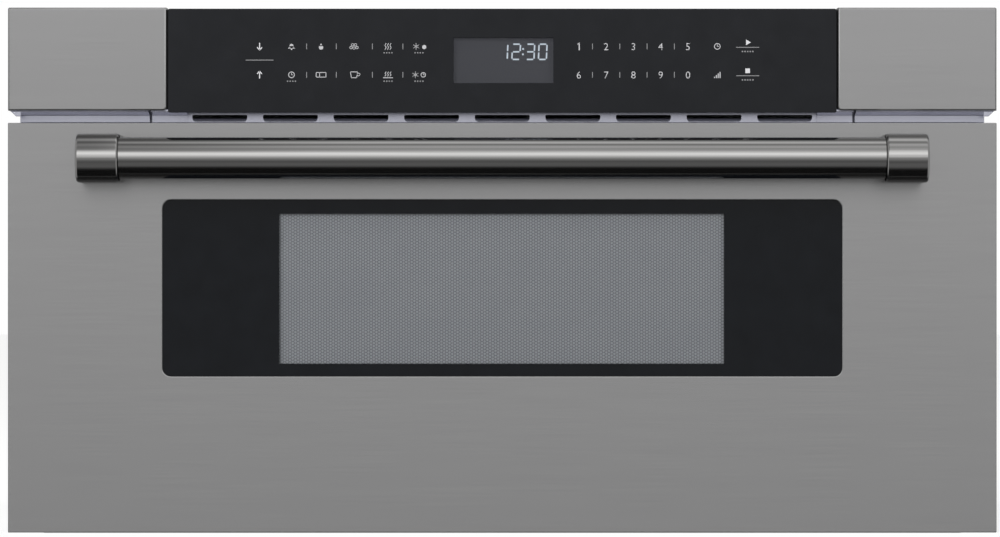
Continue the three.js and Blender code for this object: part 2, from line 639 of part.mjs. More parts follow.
// The rack's teeth point down, with a gap over the pinion's upright tooth.
function driveRack() {
  const pitch = Math.PI * GEAR_MODULE;
  const halfTooth = pitch / 4 - FLANK_PLAY;
  const slope = Math.tan(PRESSURE_ANGLE);
  const [tipHalf, rootHalf] = [halfTooth - RACK_ADDENDUM * slope, halfTooth + RACK_DEDENDUM * slope];
  const rearmost = GUIDE_Y + GUIDE_LENGTH + DRAWER_TRAVEL + pitch;
  const firstTooth = Math.ceil((SLIDE_START - PINION_Y) / pitch) + 0.5;
  const count = Math.floor((rearmost - PINION_Y) / pitch - firstTooth);
  const teeth = range(count).flatMap((i) => {
    const y = PINION_Y + (firstTooth + i) * pitch;
    return [
      [y - rootHalf, RACK_PITCH_Z + RACK_DEDENDUM],
      [y - tipHalf, RACK_PITCH_Z - RACK_ADDENDUM],
      [y + tipHalf, RACK_PITCH_Z - RACK_ADDENDUM],
      [y + rootHalf, RACK_PITCH_Z + RACK_DEDENDUM],
    ];
  });
  const end = teeth[teeth.length - 1][0] + pitch / 2;
  const shape = polygon([
    [DRAWER_FRONT, RACK_PITCH_Z + RACK_DEDENDUM],
    ...teeth,
    [end, RACK_PITCH_Z + RACK_DEDENDUM],
    [end, RACK_TOP],
    [DRAWER_FRONT, RACK_TOP],
  ]);
  const [half, halfTab] = [RACK_WIDTH / 2, RACK_TAB / 2];
  const tabBack = DRAWER_FRONT + SLIDE_TAB;
  const tabTop = RACK_TOP + RACK_TAB_RISE;
  const tab = box(RACK_X - halfTab, RACK_X + halfTab, DRAWER_FRONT, tabBack, RACK_PITCH_Z, tabTop);
  return join(alongX(shape, RACK_X - half, RACK_X + half), tab);
}

function rackGuide() {
  const inner = RACK_WIDTH / 2 + RUN;
  const outer = inner + GUIDE_WALL;
  const top = RACK_TOP + RUN + GUIDE_WALL;
  const block = box(RACK_X - outer, RACK_X + outer, GUIDE_Y, GUIDE_Y + GUIDE_LENGTH, BASE_TOP, top);
  const [front, back] = [GUIDE_Y - OVER, GUIDE_Y + GUIDE_LENGTH + OVER];
  const way = box(RACK_X - inner, RACK_X + inner, front, back, BASE_TOP + GUIDE_WALL, RACK_TOP + RUN);
  return cut(block, way);
}

const MOTOR_PLATE_X = RACK_X + PINION_FACE; // near face of the motor bracket
const MOTOR_PLATE_BACK = MOTOR_PLATE_X + BRACKET_SHEET;
const GEARBOX_FRONT = PINION_Y - GEARBOX_SIZE / 2;
const GEARBOX_REAR = PINION_Y + GEARBOX_SIZE / 2;
const GEARBOX_TOP = PINION_Z + GEARBOX_SIZE / 2;

function motorBracket() {
  const plate = box(MOTOR_PLATE_X, MOTOR_PLATE_BACK, GEARBOX_FRONT, GEARBOX_REAR, BASE_TOP, GEARBOX_TOP);
  const footEnd = MOTOR_PLATE_BACK + GEARBOX_LENGTH;
  const foot = box(MOTOR_PLATE_X, footEnd, GEARBOX_FRONT, GEARBOX_REAR, BASE_TOP, BASE_TOP + SHEET);
  const [holeStart, holeEnd] = [MOTOR_PLATE_X - OVER, MOTOR_PLATE_BACK + OVER];
  const hole = rodX(SHAFT_RADIUS + RUN, holeStart, holeEnd, PINION_Y, PINION_Z, SMALL_ROUND);
  return cut(join(plate, foot), hole);
}

function driveMotor() {
  const x0 = MOTOR_PLATE_BACK + SEAT;
  const x1 = x0 + GEARBOX_LENGTH;
  const gearbox = box(x0, x1, GEARBOX_FRONT, GEARBOX_REAR, BASE_TOP + SHEET + SEAT, GEARBOX_TOP);
  return join(gearbox, rodX(MOTOR_RADIUS, x1 - OVER, x1 + MOTOR_LENGTH, PINION_Y, PINION_Z));
}

place(microwaveDrawer, "drive_pinion", pinion(), gearNylon, RACK_X, PINION_Y, PINION_Z);
place(drawer, "drive_rack", driveRack(), gearNylon);
place(cabinet, "rack_guide", rackGuide(), whitePlastic);
place(cabinet, "motor_bracket", motorBracket(), zincSheet);
place(cabinet, "drive_motor", driveMotor(), blackPlastic);

// ---------------------------------------------------------------- drawer door

function frontSkin() {
  const tray = box(-HALF_FRONT, HALF_FRONT, FRONT_Y, FRONT_Y + SKIN_RETURN, DOOR_BOTTOM, DOOR_TOP);
  const hollow = box(
    -HALF_FRONT + SHEET,
    HALF_FRONT - SHEET,
    FRONT_Y + SHEET,
    FRONT_Y + SKIN_RETURN + OVER,
    DOOR_BOTTOM + SHEET,
    DOOR_TOP - SHEET,
  );
  const outline = roundedRect(OPENING_WIDTH, OPENING_HEIGHT, OPENING_RADIUS);
  const opening = alongY(outline, FRONT_Y - OVER, FRONT_Y + SHEET + OVER).translate(0, 0, OPENING_Z);
  return cut(tray, hollow, opening);
}

const GLASS_HALF_WIDTH = OPENING_WIDTH / 2 + GLASS_OVERLAP;
const GLASS_HALF_HEIGHT = OPENING_HEIGHT / 2 + GLASS_OVERLAP;
const GLASS_FRONT = FRONT_Y + SHEET + SEAT;
const SCREEN_HALF_WIDTH = WINDOW_WIDTH / 2 + SCREEN_MARGIN;
const SCREEN_HALF_HEIGHT = WINDOW_HEIGHT / 2 + SCREEN_MARGIN;
const SCREEN_FRONT = GLASS_FRONT + GLASS_THICKNESS + SCREEN_BEHIND_GLASS;
const INNER_PANEL_FRONT = INNER_PANEL_BACK - INNER_PANEL_DEPTH;
const DOOR_FRAME_BACK = INNER_PANEL_FRONT - SEAT;

// A folded tray behind the skin, with a tube round the window, ribs and a boss behind each handle post.
function doorFrame() {
  const rim = HALF_FRONT - SHEET - SEAT;
  const [bottom, top] = [DOOR_BOTTOM + SHEET + SEAT, DOOR_TOP - SHEET - SEAT];
  const t = DOOR_FRAME_SHEET;
  const front = FRONT_Y + SHEET + SEAT;
  const tray = box(-rim, rim, front, DOOR_FRAME_BACK, bottom, top);
  const pocket = box(-rim + t, rim - t, front - OVER, DOOR_FRAME_BACK - t, bottom + t, top - t);
  const [w, h] = [SCREEN_HALF_WIDTH + SEAT, SCREEN_HALF_HEIGHT + SEAT];
  const tubeFront = GLASS_FRONT + GLASS_THICKNESS + SEAT;
  const tube = box(-w - t, w + t, tubeFront, DOOR_FRAME_BACK, OPENING_Z - h - t, OPENING_Z + h + t);
  const window = box(-w, w, front - OVER, DOOR_FRAME_BACK + OVER, OPENING_Z - h, OPENING_Z + h);
  const ribX = [-(rim + w) / 2, -w / 2, w / 2, (rim + w) / 2];
  const [ribBottom, ribTop] = [bottom + t / 2, top - t / 2];
  const ribs = ribX.map((x) => box(x - t / 2, x + t / 2, tubeFront, DOOR_FRAME_BACK, ribBottom, ribTop));
  const postX = HALF_HANDLE - HANDLE_POST_LENGTH / 2;
  const bosses = [-postX, postX].map((x) =>
    rodY(HANDLE_BOSS_RADIUS, front, DOOR_FRAME_BACK - t / 2, x, HANDLE_Z, SMALL_ROUND),
  );
  return cut(join(cut(tray, pocket), tube, ribs, bosses), window);
}

function innerPanel() {
  const half = HALF_FRONT - INNER_PANEL_SIDE_INSET;
  const [bottom, top] = [DOOR_BOTTOM + INNER_PANEL_INSET, DOOR_TOP - INNER_PANEL_INSET];
  const t = INNER_PANEL_SHEET;
  const [front, back] = [INNER_PANEL_FRONT, INNER_PANEL_BACK];
  const tray = box(-half, half, front, back, bottom, top);
  const hollow = box(-half + t, half - t, front - OVER, back - t, bottom + t, top - t);
  const [w, h] = [WINDOW_WIDTH / 2, WINDOW_HEIGHT / 2];
  const collar = box(-w - t, w + t, front, back, OPENING_Z - h - t, OPENING_Z + h + t);
  const window = box(-w, w, front - OVER, back + OVER, OPENING_Z - h, OPENING_Z + h);
  return cut(join(cut(tray, hollow), collar), window);
}

function pane(halfWidth, halfHeight, front, thickness) {
  return box(-halfWidth, halfWidth, front, front + thickness, OPENING_Z - halfHeight, OPENING_Z + halfHeight);
}

place(drawer, "front_skin", frontSkin(), brushedSteel);
const doorGlass = pane(GLASS_HALF_WIDTH, GLASS_HALF_HEIGHT, GLASS_FRONT, GLASS_THICKNESS);
const shieldScreen = pane(SCREEN_HALF_WIDTH, SCREEN_HALF_HEIGHT, SCREEN_FRONT, SCREEN_SHEET);
place(drawer, "door_glass", doorGlass, blackGlass);
place(drawer, "shield_screen", shieldScreen, screenSteel);
place(drawer, "door_frame", doorFrame(), zincSheet);
place(drawer, "inner_panel", innerPanel(), enamel);
place(
  drawer,
  "inner_window",
  pane(WINDOW_WIDTH / 2 - SEAT, WINDOW_HEIGHT / 2 - SEAT, INNER_PANEL_FRONT + SHEET, INNER_WINDOW_THICKNESS),
  darkGlass,
);

// ---------------------------------------------------------------- handle

// A D-shaped post: round in front, flat above and below. The bar plugs into its inner side.
function handlePost() {
  const back = FRONT_Y - SEAT;
  const profile = new THREE.Shape()
    .moveTo(back, HANDLE_Z + HANDLE_POST_RADIUS)
    .lineTo(HANDLE_Y, HANDLE_Z + HANDLE_POST_RADIUS)
    .absarc(HANDLE_Y, HANDLE_Z, HANDLE_POST_RADIUS, Math.PI / 2, 1.5 * Math.PI)
    .lineTo(back, HANDLE_Z - HANDLE_POST_RADIUS);
  const inner = HALF_HANDLE - HANDLE_POST_LENGTH;
  const body = alongX(profile, inner, HALF_HANDLE, 16);
  return cut(body, rodX(HANDLE_BAR_RADIUS + SEAT, inner - OVER, inner + HANDLE_SOCKET, HANDLE_Y, HANDLE_Z));
}

function handleBar() {
  const end = HALF_HANDLE - HANDLE_POST_LENGTH + HANDLE_SOCKET - SEAT;
  const tube = rodX(HANDLE_BAR_RADIUS, -end, end, HANDLE_Y, HANDLE_Z);
  return cut(tube, rodX(HANDLE_BAR_RADIUS - HANDLE_BAR_WALL, -end - OVER, end + OVER, HANDLE_Y, HANDLE_Z));
}

place(drawer, "handle_bar", handleBar(), handleSteel);
placePair(drawer, "handle_post", handlePost(), handleSteel);

// ---------------------------------------------------------------- drawer tub

function drawerTub() {
  const back = DRAWER_FRONT + TUB_DEPTH;
  const outer = box(-HALF_TUB, HALF_TUB, DRAWER_FRONT, back, TUB_BOTTOM, TUB_TOP);
  const rimEdge = HALF_TUB + TUB_RIM;
  const rim = box(-rimEdge, rimEdge, DRAWER_FRONT, back + TUB_RIM, TUB_TOP - TUB_WALL, TUB_TOP);
  const inside = box(
    -HALF_TUB + TUB_WALL,
    HALF_TUB - TUB_WALL,
    DRAWER_FRONT - OVER,
    back - TUB_WALL,
    TUB_BOTTOM + TUB_WALL,
    TUB_TOP + OVER,
  );
  return cut(join(outer, rim), inside);
}

function ceramicTray() {
  const half = HALF_TUB - TUB_WALL - TRAY_EDGE_GAP;
  const [front, back] = [DRAWER_FRONT + TRAY_EDGE_GAP, DRAWER_FRONT + TUB_DEPTH - TUB_WALL - TRAY_EDGE_GAP];
  const bottom = TUB_BOTTOM + TUB_WALL + SEAT;
  return box(-half, half, front, back, bottom, bottom + TRAY_THICKNESS);
}

place(drawer, "drawer_tub", drawerTub(), enamel);
place(drawer, "ceramic_tray", ceramicTray(), ceramic);

// ---------------------------------------------------------------- door switches

function latchHook() {
  const [x0, x1] = [HOOK_X - HOOK.thickness / 2, HOOK_X + HOOK.thickness / 2];
  const [bottom, top] = [HOOK_Z - HOOK.height / 2, HOOK_Z + HOOK.height / 2];
  const tip = DRAWER_FRONT + HOOK.length;
  return alongX(
    polygon([
      [DRAWER_FRONT, bottom],
      [tip, bottom],
      [tip, top],
      [tip - HOOK.barbLength, top + HOOK.barb],
      [tip - HOOK.barbLength, top],
      [DRAWER_FRONT, top],
    ]),
    x0,
    x1,
  );
}

const PLUNGER_TIP = DRAWER_FRONT + HOOK.length + SEAT; // just behind the hook's end
const SWITCH_FRONT = PLUNGER_TIP + SWITCH.gap;

// The switch body and the arm that carries it from the front frame, over the hook.
function switchBody() {
  const [x0, x1] = [HOOK_X - SWITCH.width / 2, HOOK_X + SWITCH.width / 2];
  const armBottom = HOOK_Z + HOOK.height / 2 + HOOK.barb + PASS;
  const armTop = armBottom + SWITCH.arm;
  const back = SWITCH_FRONT + SWITCH.depth;
  const body = box(x0, x1, SWITCH_FRONT, back, armTop - SWITCH.height, armTop);
  const arm = box(x0, x1, SEAT, back, armBottom, armTop);
  const bore = rodY(
    PLUNGER_RADIUS + RUN,
    SWITCH_FRONT - OVER,
    SWITCH_FRONT + PLUNGER_SINK + PLUNGER_TRAVEL + OVER,
    HOOK_X,
    HOOK_Z,
    SMALL_ROUND,
  );
  const foot = box(x0, x1, SEAT, SEAT + SWITCH.arm, armBottom, armBottom + SWITCH.foot);
  return cut(join(body, arm, foot), bore);
}

placePair(drawer, "latch_hook", latchHook(), zincSheet);
placePair(cabinet, "door_switch", switchBody(), blackPlastic);
placePair(
  microwaveDrawer,
  "switch_plunger",
  rodY(PLUNGER_RADIUS, PLUNGER_TIP, SWITCH_FRONT + PLUNGER_SINK, HOOK_X, HOOK_Z, SMALL_ROUND),
  whitePlastic,
);

// ---------------------------------------------------------------- control panel

// The outer side and the top fold back to the flange. The lower and inner edges have a short lip.
function endCap() {
  const [inner, outer] = [CAP_INNER_X, HALF_FRONT];
  const back = FLANGE_FRONT - SEAT;
  const lipBack = FRONT_Y + END_CAP_LIP;
  const face = box(inner, outer, FRONT_Y, FRONT_Y + SHEET, PANEL_BOTTOM, PANEL_TOP);
  const innerLip = box(inner, inner + SHEET, FRONT_Y, lipBack, PANEL_BOTTOM, PANEL_TOP);
  const lowerLip = box(inner, outer, FRONT_Y, lipBack, PANEL_BOTTOM, PANEL_BOTTOM + SHEET);
  const top = box(inner, outer, FRONT_Y, back, PANEL_TOP - SHEET, PANEL_TOP);
  const side = box(outer - SHEET, outer, FRONT_Y, back, PANEL_BOTTOM, PANEL_TOP);
  return join(face, innerLip, lowerLip, top, side);
}

function controlHousing() {
  const half = HALF_FRONT - SHEET - SEAT;
  const back = FLANGE_FRONT - SEAT;
  const shell = box(-half, half, HOUSING_FRONT, back, HOUSING_BOTTOM, HOUSING_TOP);
  const inside = box(
    -half + HOUSING_WALL,
    half - HOUSING_WALL,
    HOUSING_FRONT + HOUSING_WALL,
    back + OVER,
    HOUSING_BOTTOM + HOUSING_WALL,
    HOUSING_TOP - HOUSING_WALL,
  );
  const [w, h] = [DISPLAY_WIDTH / 2 + SEAT, DISPLAY_HEIGHT / 2 + SEAT];
  const displayHole = box(
    DISPLAY_X - w,
    DISPLAY_X + w,
    HOUSING_FRONT - OVER,
    HOUSING_FRONT + HOUSING_WALL + OVER,
    DISPLAY_Z - h,
    DISPLAY_Z + h,
  );
  return cut(shell, inside, displayHole);
}

function controlGlass() {
  const half = CAP_INNER_X - CAP_GLASS_GAP;
  const [bottom, top] = [PANEL_BOTTOM - CONTROL_GLASS_DROP, PANEL_TOP - CONTROL_GLASS_DROP];
  return box(-half, half, CONTROL_GLASS_FRONT, CONTROL_GLASS_FRONT + GLASS_THICKNESS, bottom, top);
}

const BOARD_FRONT = HOUSING_FRONT + HOUSING_WALL + BOARD_STANDOFF;

function displayModule() {
  const [w, h] = [DISPLAY_WIDTH / 2, DISPLAY_HEIGHT / 2];
  return box(DISPLAY_X - w, DISPLAY_X + w, HOUSING_FRONT, BOARD_FRONT - SEAT, DISPLAY_Z - h, DISPLAY_Z + h);
}

function controlBoard() {
  const half = BOARD_WIDTH / 2;
  const centre = (HOUSING_BOTTOM + HOUSING_TOP) / 2;
  const [bottom, top] = [centre - BOARD_HEIGHT / 2, centre + BOARD_HEIGHT / 2];
  const back = BOARD_FRONT + BOARD_SHEET;
  const board = box(-half, half, BOARD_FRONT, back, bottom, top);
  const studFront = HOUSING_FRONT + HOUSING_WALL + SEAT;
  const studs = [-1, 1].flatMap((side) =>
    [bottom + STUD_INSET, top - STUD_INSET].map((z) =>
      rodY(STUD_RADIUS, studFront, back - SEAT, side * (half - STUD_INSET), z, HOLE_ROUND),
    ),
  );
  const parts = [RELAY, CHIP].map(({ x, width, height, depth }) => {
    const [w, h] = [width / 2, height / 2];
    return box(x - w, x + w, BOARD_FRONT + SEAT, back + depth, centre - h, centre + h);
  });
  return join(board, studs, parts);
}

placePair(cabinet, "end_cap", endCap(), brushedSteel);
place(cabinet, "control_housing", controlHousing(), blackPlastic);
place(cabinet, "control_glass", controlGlass(), blackGlass);
place(cabinet, "display_module", displayModule(), darkGlass);
place(cabinet, "control_board", controlBoard(), boardGreen);

// ---------------------------------------------------------------- vent strip

// The ledge under the control panel and the wall that drops from it, in Y and Z.
function ledgeProfile() {
  return polygon([
    [-STRIP_FRONT, LEDGE_FRONT_Z],
    [-STRIP_WALL_Y, LEDGE_BACK_Z],
    [-STRIP_WALL_Y, STRIP_BOTTOM],
    [-STRIP_WALL_Y + STRIP_SHEET, STRIP_BOTTOM],
    [-STRIP_WALL_Y + STRIP_SHEET, STRIP_TOP - STRIP_SHEET],
    [FLANGE_FRONT - SEAT, STRIP_TOP - STRIP_SHEET],
    [FLANGE_FRONT - SEAT, STRIP_TOP],
    [-STRIP_FRONT, STRIP_TOP],
  ]);
}

// The blade behind the slots, which rises to the back.
function bladeProfile() {
  const [y, z] = [-STRIP_WALL_Y, STRIP_BOTTOM];
  return polygon([
    [y, z],
    [y + STRIP_SHEET, z],
    [y + STRIP_SHEET + VENT_BLADE_DEPTH, z + VENT_BLADE_RISE],
    [y + VENT_BLADE_DEPTH, z + VENT_BLADE_RISE],
  ]);
}

function ventGrille() {
  const [half, field] = [HALF_GRILLE, HALF_VENT_FIELD];
  const ends = [[-half, -field], [field, half]].map(([x0, x1]) => alongX(ledgeProfile(), x0, x1));
  const back = box(-half, half, -STRIP_FRONT, FLANGE_FRONT - SEAT, STRIP_TOP - SHEET / 2, STRIP_TOP);
  const [wall, wallBack] = [-STRIP_WALL_Y, -STRIP_WALL_Y + STRIP_SHEET];
  const plate = box(-field - OVER, field + OVER, wall, wallBack, STRIP_BOTTOM, STRIP_TOP);
  const slotZ = STRIP_BOTTOM + VENT_SLOT_RISE + VENT_SLOT_HEIGHT / 2;
  const slots = range(VENT_SLOTS).map((i) => {
    const x = (i - (VENT_SLOTS - 1) / 2) * VENT_SLOT_PITCH;
    const slot = roundedRect(VENT_SLOT_WIDTH, VENT_SLOT_HEIGHT, VENT_SLOT_RADIUS);
    return alongY(slot, wall - OVER, wallBack + OVER, 3).translate(x, 0, slotZ);
  });
  const blade = alongX(bladeProfile(), -field - OVER, field + OVER);
  return join(ends, back, cut(plate, slots), blade);
}

function stripEnd() {
  const outer = HALF_FRONT - STRIP_INSET;
  const strip = alongX(ledgeProfile(), HALF_GRILLE + GRILLE_SEAM, outer);
  const wallEnd = outer - STRIP_WALL_SETBACK;
  const [front, back] = [-STRIP_WALL_Y - OVER, -STRIP_WALL_Y + STRIP_SHEET + OVER];
  return cut(strip, box(wallEnd, outer + OVER, front, back, STRIP_BOTTOM - OVER, LEDGE_BACK_Z));
}

function exhaustDuct() {
  const half = DUCT_WIDTH / 2;
  const [bottom, top] = [CAVITY_TOP + SEAT, CAVITY_TOP + SEAT + DUCT_HEIGHT];
  const back = SEAT + DUCT_DEPTH;
  const tube = box(-half, half, SEAT, back, bottom, top);
  return cut(tube, box(-half + SHEET, half - SHEET, -OVER, back + OVER, bottom + SHEET, top - SHEET));
}

place(cabinet, "vent_grille", ventGrille(), paintedStrip);
placePair(cabinet, "vent_strip", stripEnd(), paintedStrip);
place(cabinet, "exhaust_duct", exhaustDuct(), zincSheet);

// ---------------------------------------------------------------- microwave feed

function waveguide() {
  const [left, right] = [-GUIDE_TUBE_LEFT, SIDE_INNER - GUIDE_TUBE_END_GAP];
  const half = GUIDE_TUBE_WIDTH / 2;
  const tube = box(left, right, FEED_Y - half, FEED_Y + half, GUIDE_TUBE_BOTTOM, GUIDE_TUBE_TOP);
  const inside = box(
    left + SHEET,
    right - SHEET,
    FEED_Y - half + SHEET,
    FEED_Y + half - SHEET,
    GUIDE_TUBE_BOTTOM + SHEET,
    GUIDE_TUBE_TOP - SHEET,
  );
  const feed = rodZ(FEED_RADIUS, GUIDE_TUBE_BOTTOM - OVER, GUIDE_TUBE_BOTTOM + SHEET + OVER, 0, FEED_Y);
  const [top, bottom] = [GUIDE_TUBE_TOP, GUIDE_TUBE_BOTTOM];
  const shaft = rodZ(STIRRER_SHAFT_RADIUS + RUN, top - SHEET - OVER, top + OVER, 0, FEED_Y, SMALL_ROUND);
  const antenna = rodZ(ANTENNA_RADIUS + RUN, bottom - OVER, bottom + SHEET + OVER, MAGNETRON_X, FEED_Y);
  return cut(tube, inside, feed, shaft, antenna);
}

// Hangs under the waveguide's outer end, its antenna up in it: filter box, fins round a core and top plate.
function magnetron() {
  const half = MAGNETRON_WIDTH / 2;
  const top = GUIDE_TUBE_BOTTOM - SEAT;
  const plate = (z0, z1) => box(-half, half, -half, half, z0, z1);
  const fins = range(MAGNETRON_FINS).map((i) => {
    const z = top - (i + 1) * MAGNETRON_FIN_PITCH;
    return plate(z - MAGNETRON_FIN, z);
  });
  const bottom = top - (MAGNETRON_FINS + 1) * MAGNETRON_FIN_PITCH;
  const core = rodZ(MAGNETRON_CORE_RADIUS, bottom - OVER, top, 0, 0, 24);
  const walls = [-half, half - SHEET].map((x) => box(x, x + SHEET, -half, half, bottom, top));
  const lid = plate(top - MAGNETRON_FIN, top);
  const filter = plate(bottom - MAGNETRON_FILTER, bottom);
  const antenna = rodZ(ANTENNA_RADIUS, top - OVER, top + ANTENNA_HEIGHT, 0, 0, SMALL_ROUND);
  return join(fins, core, walls, lid, filter, antenna);
}

const STIRRER_TOP = CAVITY_CEILING - STIRRER_BELOW;

// Four flat arms of uneven length on a hub, about the shaft's axis.
function stirrer() {
  const half = STIRRER_ARM / 2;
  const arms = range(4).map((i) => {
    const length = STIRRER_RADIUS * (i % 2 ? STIRRER_SHORT_ARM : 1);
    return box(0, length, -half, half, -STIRRER_BLADE, 0).rotateZ((i * Math.PI) / 2);
  });
  const shaftTop = GUIDE_TUBE_TOP - STIRRER_TOP;
  const shaft = rodZ(STIRRER_SHAFT_RADIUS, -STIRRER_BLADE, shaftTop, 0, 0, SMALL_ROUND);
  return join(arms, shaft, rodZ(STIRRER_ARM / 2, -STIRRER_BLADE, STIRRER_HUB_RISE, 0, 0, 24));
}

function stirrerCover() {
  const half = STIRRER_COVER_SIZE / 2;
  const top = CAVITY_CEILING - SEAT;
  const dish = box(-half, half, -half, half, top - STIRRER_COVER_DEPTH, top);
  const inner = half - STIRRER_COVER_WALL;
  const floor = top - STIRRER_COVER_DEPTH + STIRRER_COVER_WALL;
  const hollow = box(-inner, inner, -inner, inner, floor, top + OVER);
  return cut(dish, hollow);
}

function stirrerMotor() {
  const half = STIRRER_MOTOR_SIZE / 2;
  const { reach, width } = STIRRER_MOTOR_LUG;
  const bottom = GUIDE_TUBE_TOP + SEAT;
  return join(
    rodZ(half, bottom, bottom + STIRRER_MOTOR_HEIGHT, 0, 0),
    box(-half - reach, half + reach, -width / 2, width / 2, bottom, bottom + SHEET),
  );
}

place(cabinet, "waveguide", waveguide(), zincSheet);
place(cabinet, "magnetron", magnetron(), zincSheet, MAGNETRON_X, FEED_Y);
place(microwaveDrawer, "stirrer", stirrer(), zincSheet, 0, FEED_Y, STIRRER_TOP);
place(cabinet, "stirrer_cover", stirrerCover(), whitePlastic, 0, FEED_Y);
place(cabinet, "stirrer_motor", stirrerMotor(), zincSheet, 0, FEED_Y);

// ---------------------------------------------------------------- power parts

function transformer() {
  const { width, depth, height, coil } = TRANSFORMER;
  const [w, d] = [width / 2, depth / 2];
  const core = box(-w, w, -d + coil, d - coil, BASE_TOP, BASE_TOP + height);
  const windings = box(-w + coil, w - coil, -d, d, BASE_TOP + coil, BASE_TOP + height - coil);
  return join(core, windings);
}

function capacitor() {
  const { radius, length, height, terminal, terminalHeight } = CAPACITOR;
  const straight = length / 2 - radius;
  const can = new THREE.ExtrudeGeometry(roundedRect(length, 2 * radius, radius - SLIVER), {
    depth: height,
    bevelEnabled: false,
    curveSegments: 6,
  }).translate(0, 0, BASE_TOP);
  const top = BASE_TOP + height;
  const terminals = [-straight, straight].map((x) =>
    rodZ(terminal, top - OVER, top + terminalHeight, x, 0, HOLE_ROUND),
  );
  return join(can, terminals);
}

const rearPartY = (depth) => REAR_INNER - REAR_PART_GAP - depth / 2;
place(cabinet, "hv_transformer", transformer(), copper, MAGNETRON_X, rearPartY(TRANSFORMER.depth));
place(cabinet, "hv_capacitor", capacitor(), zincSheet, CAPACITOR.x, rearPartY(2 * CAPACITOR.radius));

// ---------------------------------------------------------------- cooling fan

const FAN_BACK = REAR_INNER - SEAT;
const FAN_FRONT = FAN_BACK - FAN_DEPTH;

// A square frame with a round bore and a spider on its inner side, about the fan's axis.
function fanShroud() {
  const half = FAN_SIZE / 2;
  const frame = box(-half, half, FAN_FRONT, FAN_BACK, -half, half);
  const bore = rodY(FAN_BORE, FAN_FRONT - OVER, FAN_BACK + OVER, 0, 0);
  const arms = range(3).map((i) => {
    const half = FAN_SPIDER_ARM / 2;
    const arm = box(-half, half, FAN_FRONT, FAN_FRONT + FAN_SPIDER, 0, FAN_BORE + OVER);
    return arm.rotateY((i * 2 * Math.PI) / 3);
  });
  const disc = rodY(FAN_MOTOR_RADIUS, FAN_FRONT, FAN_FRONT + FAN_SPIDER, 0, 0, 24);
  const [holeFront, holeBack] = [FAN_FRONT - OVER, FAN_FRONT + FAN_SPIDER + OVER];
  const shaftHole = rodY(FAN_SHAFT_RADIUS + RUN, holeFront, holeBack, 0, 0, SMALL_ROUND);
  return cut(join(cut(frame, bore), arms, disc), shaftHole);
}

// Hub, shaft and pitched blades, about the fan's axis.
function fanBlade() {
  const hubFront = FAN_FRONT + FAN_SPIDER + FAN_TIP_GAP;
  const hubBack = FAN_BACK - FAN_TIP_GAP;
  const middle = (hubFront + hubBack) / 2;
  const [halfChord, halfSheet] = [FAN_CHORD / 2, FAN_BLADE_SHEET / 2];
  const blades = range(FAN_BLADES).map((i) =>
    box(-halfChord, halfChord, -halfSheet, halfSheet, FAN_HUB / 2, FAN_BORE - FAN_TIP_GAP)
      .rotateZ(FAN_PITCH)
      .translate(0, middle, 0)
      .rotateY((i * 2 * Math.PI) / FAN_BLADES),
  );
  return join(
    rodY(FAN_HUB, hubFront, hubBack, 0, 0, 24),
    blades,
    rodY(FAN_SHAFT_RADIUS, FAN_FRONT, hubFront + OVER, 0, 0, SMALL_ROUND),
  );
}

place(cabinet, "fan_shroud", fanShroud(), blackPlastic, MAGNETRON_X, 0, FAN_Z);
place(microwaveDrawer, "fan_blade", fanBlade(), whitePlastic, MAGNETRON_X, 0, FAN_Z);
place(
  cabinet,
  "fan_motor",
  rodY(FAN_MOTOR_RADIUS, FAN_FRONT - SEAT - FAN_MOTOR_LENGTH, FAN_FRONT - SEAT, 0, 0, 24),
  zincSheet,
  MAGNETRON_X,
  0,
  FAN_Z,
);

// ---------------------------------------------------------------- lamp and mains filter

function ovenLamp() {
  const wall = -CAVITY_OUTER - SEAT;
  const half = LAMP.size / 2;
  return join(
    box(wall - LAMP.depth, wall, LAMP.y - half, LAMP.y + half, LAMP_Z - half, LAMP_Z + half),
    rodX(LAMP.bulb, wall - OVER, -HALF_CAVITY - SEAT, LAMP.y, LAMP_Z, SMALL_ROUND),
  );
}

function filterBoard() {
  const wall = -SIDE_INNER + SEAT;
  const [d, h] = [FILTER.depth / 2, FILTER.height / 2];
  const face = wall + FILTER.standoff;
  const back = face + BOARD_SHEET;
  const board = box(face, back, FILTER.y - d, FILTER.y + d, FILTER.z - h, FILTER.z + h);
  const studs = [-1, 1].flatMap((i) =>
    [-1, 1].map((j) => {
      const [y, z] = [FILTER.y + i * (d - STUD_INSET), FILTER.z + j * (h - STUD_INSET)];
      return rodX(STUD_RADIUS, wall, back - SEAT, y, z, HOLE_ROUND);
    }),
  );
  const choke = rodX(CHOKE.radius, back - OVER, back + CHOKE.height, CHOKE.y, CHOKE.z, SMALL_ROUND);
  const { size, height, y, z } = FILTER_CAPACITOR;
  const block = box(back - OVER, back + height, y - size / 2, y + size / 2, z - size / 2, z + size / 2);
  return join(board, studs, choke, block);
}

place(cabinet, "oven_lamp", ovenLamp(), whitePlastic);
place(cabinet, "filter_board", filterBoard(), boardGreen);

export default microwaveDrawer;
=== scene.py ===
"""A built-in microwave drawer: a steel front with a window and a bar handle under a fixed touch panel."""

import json
import math

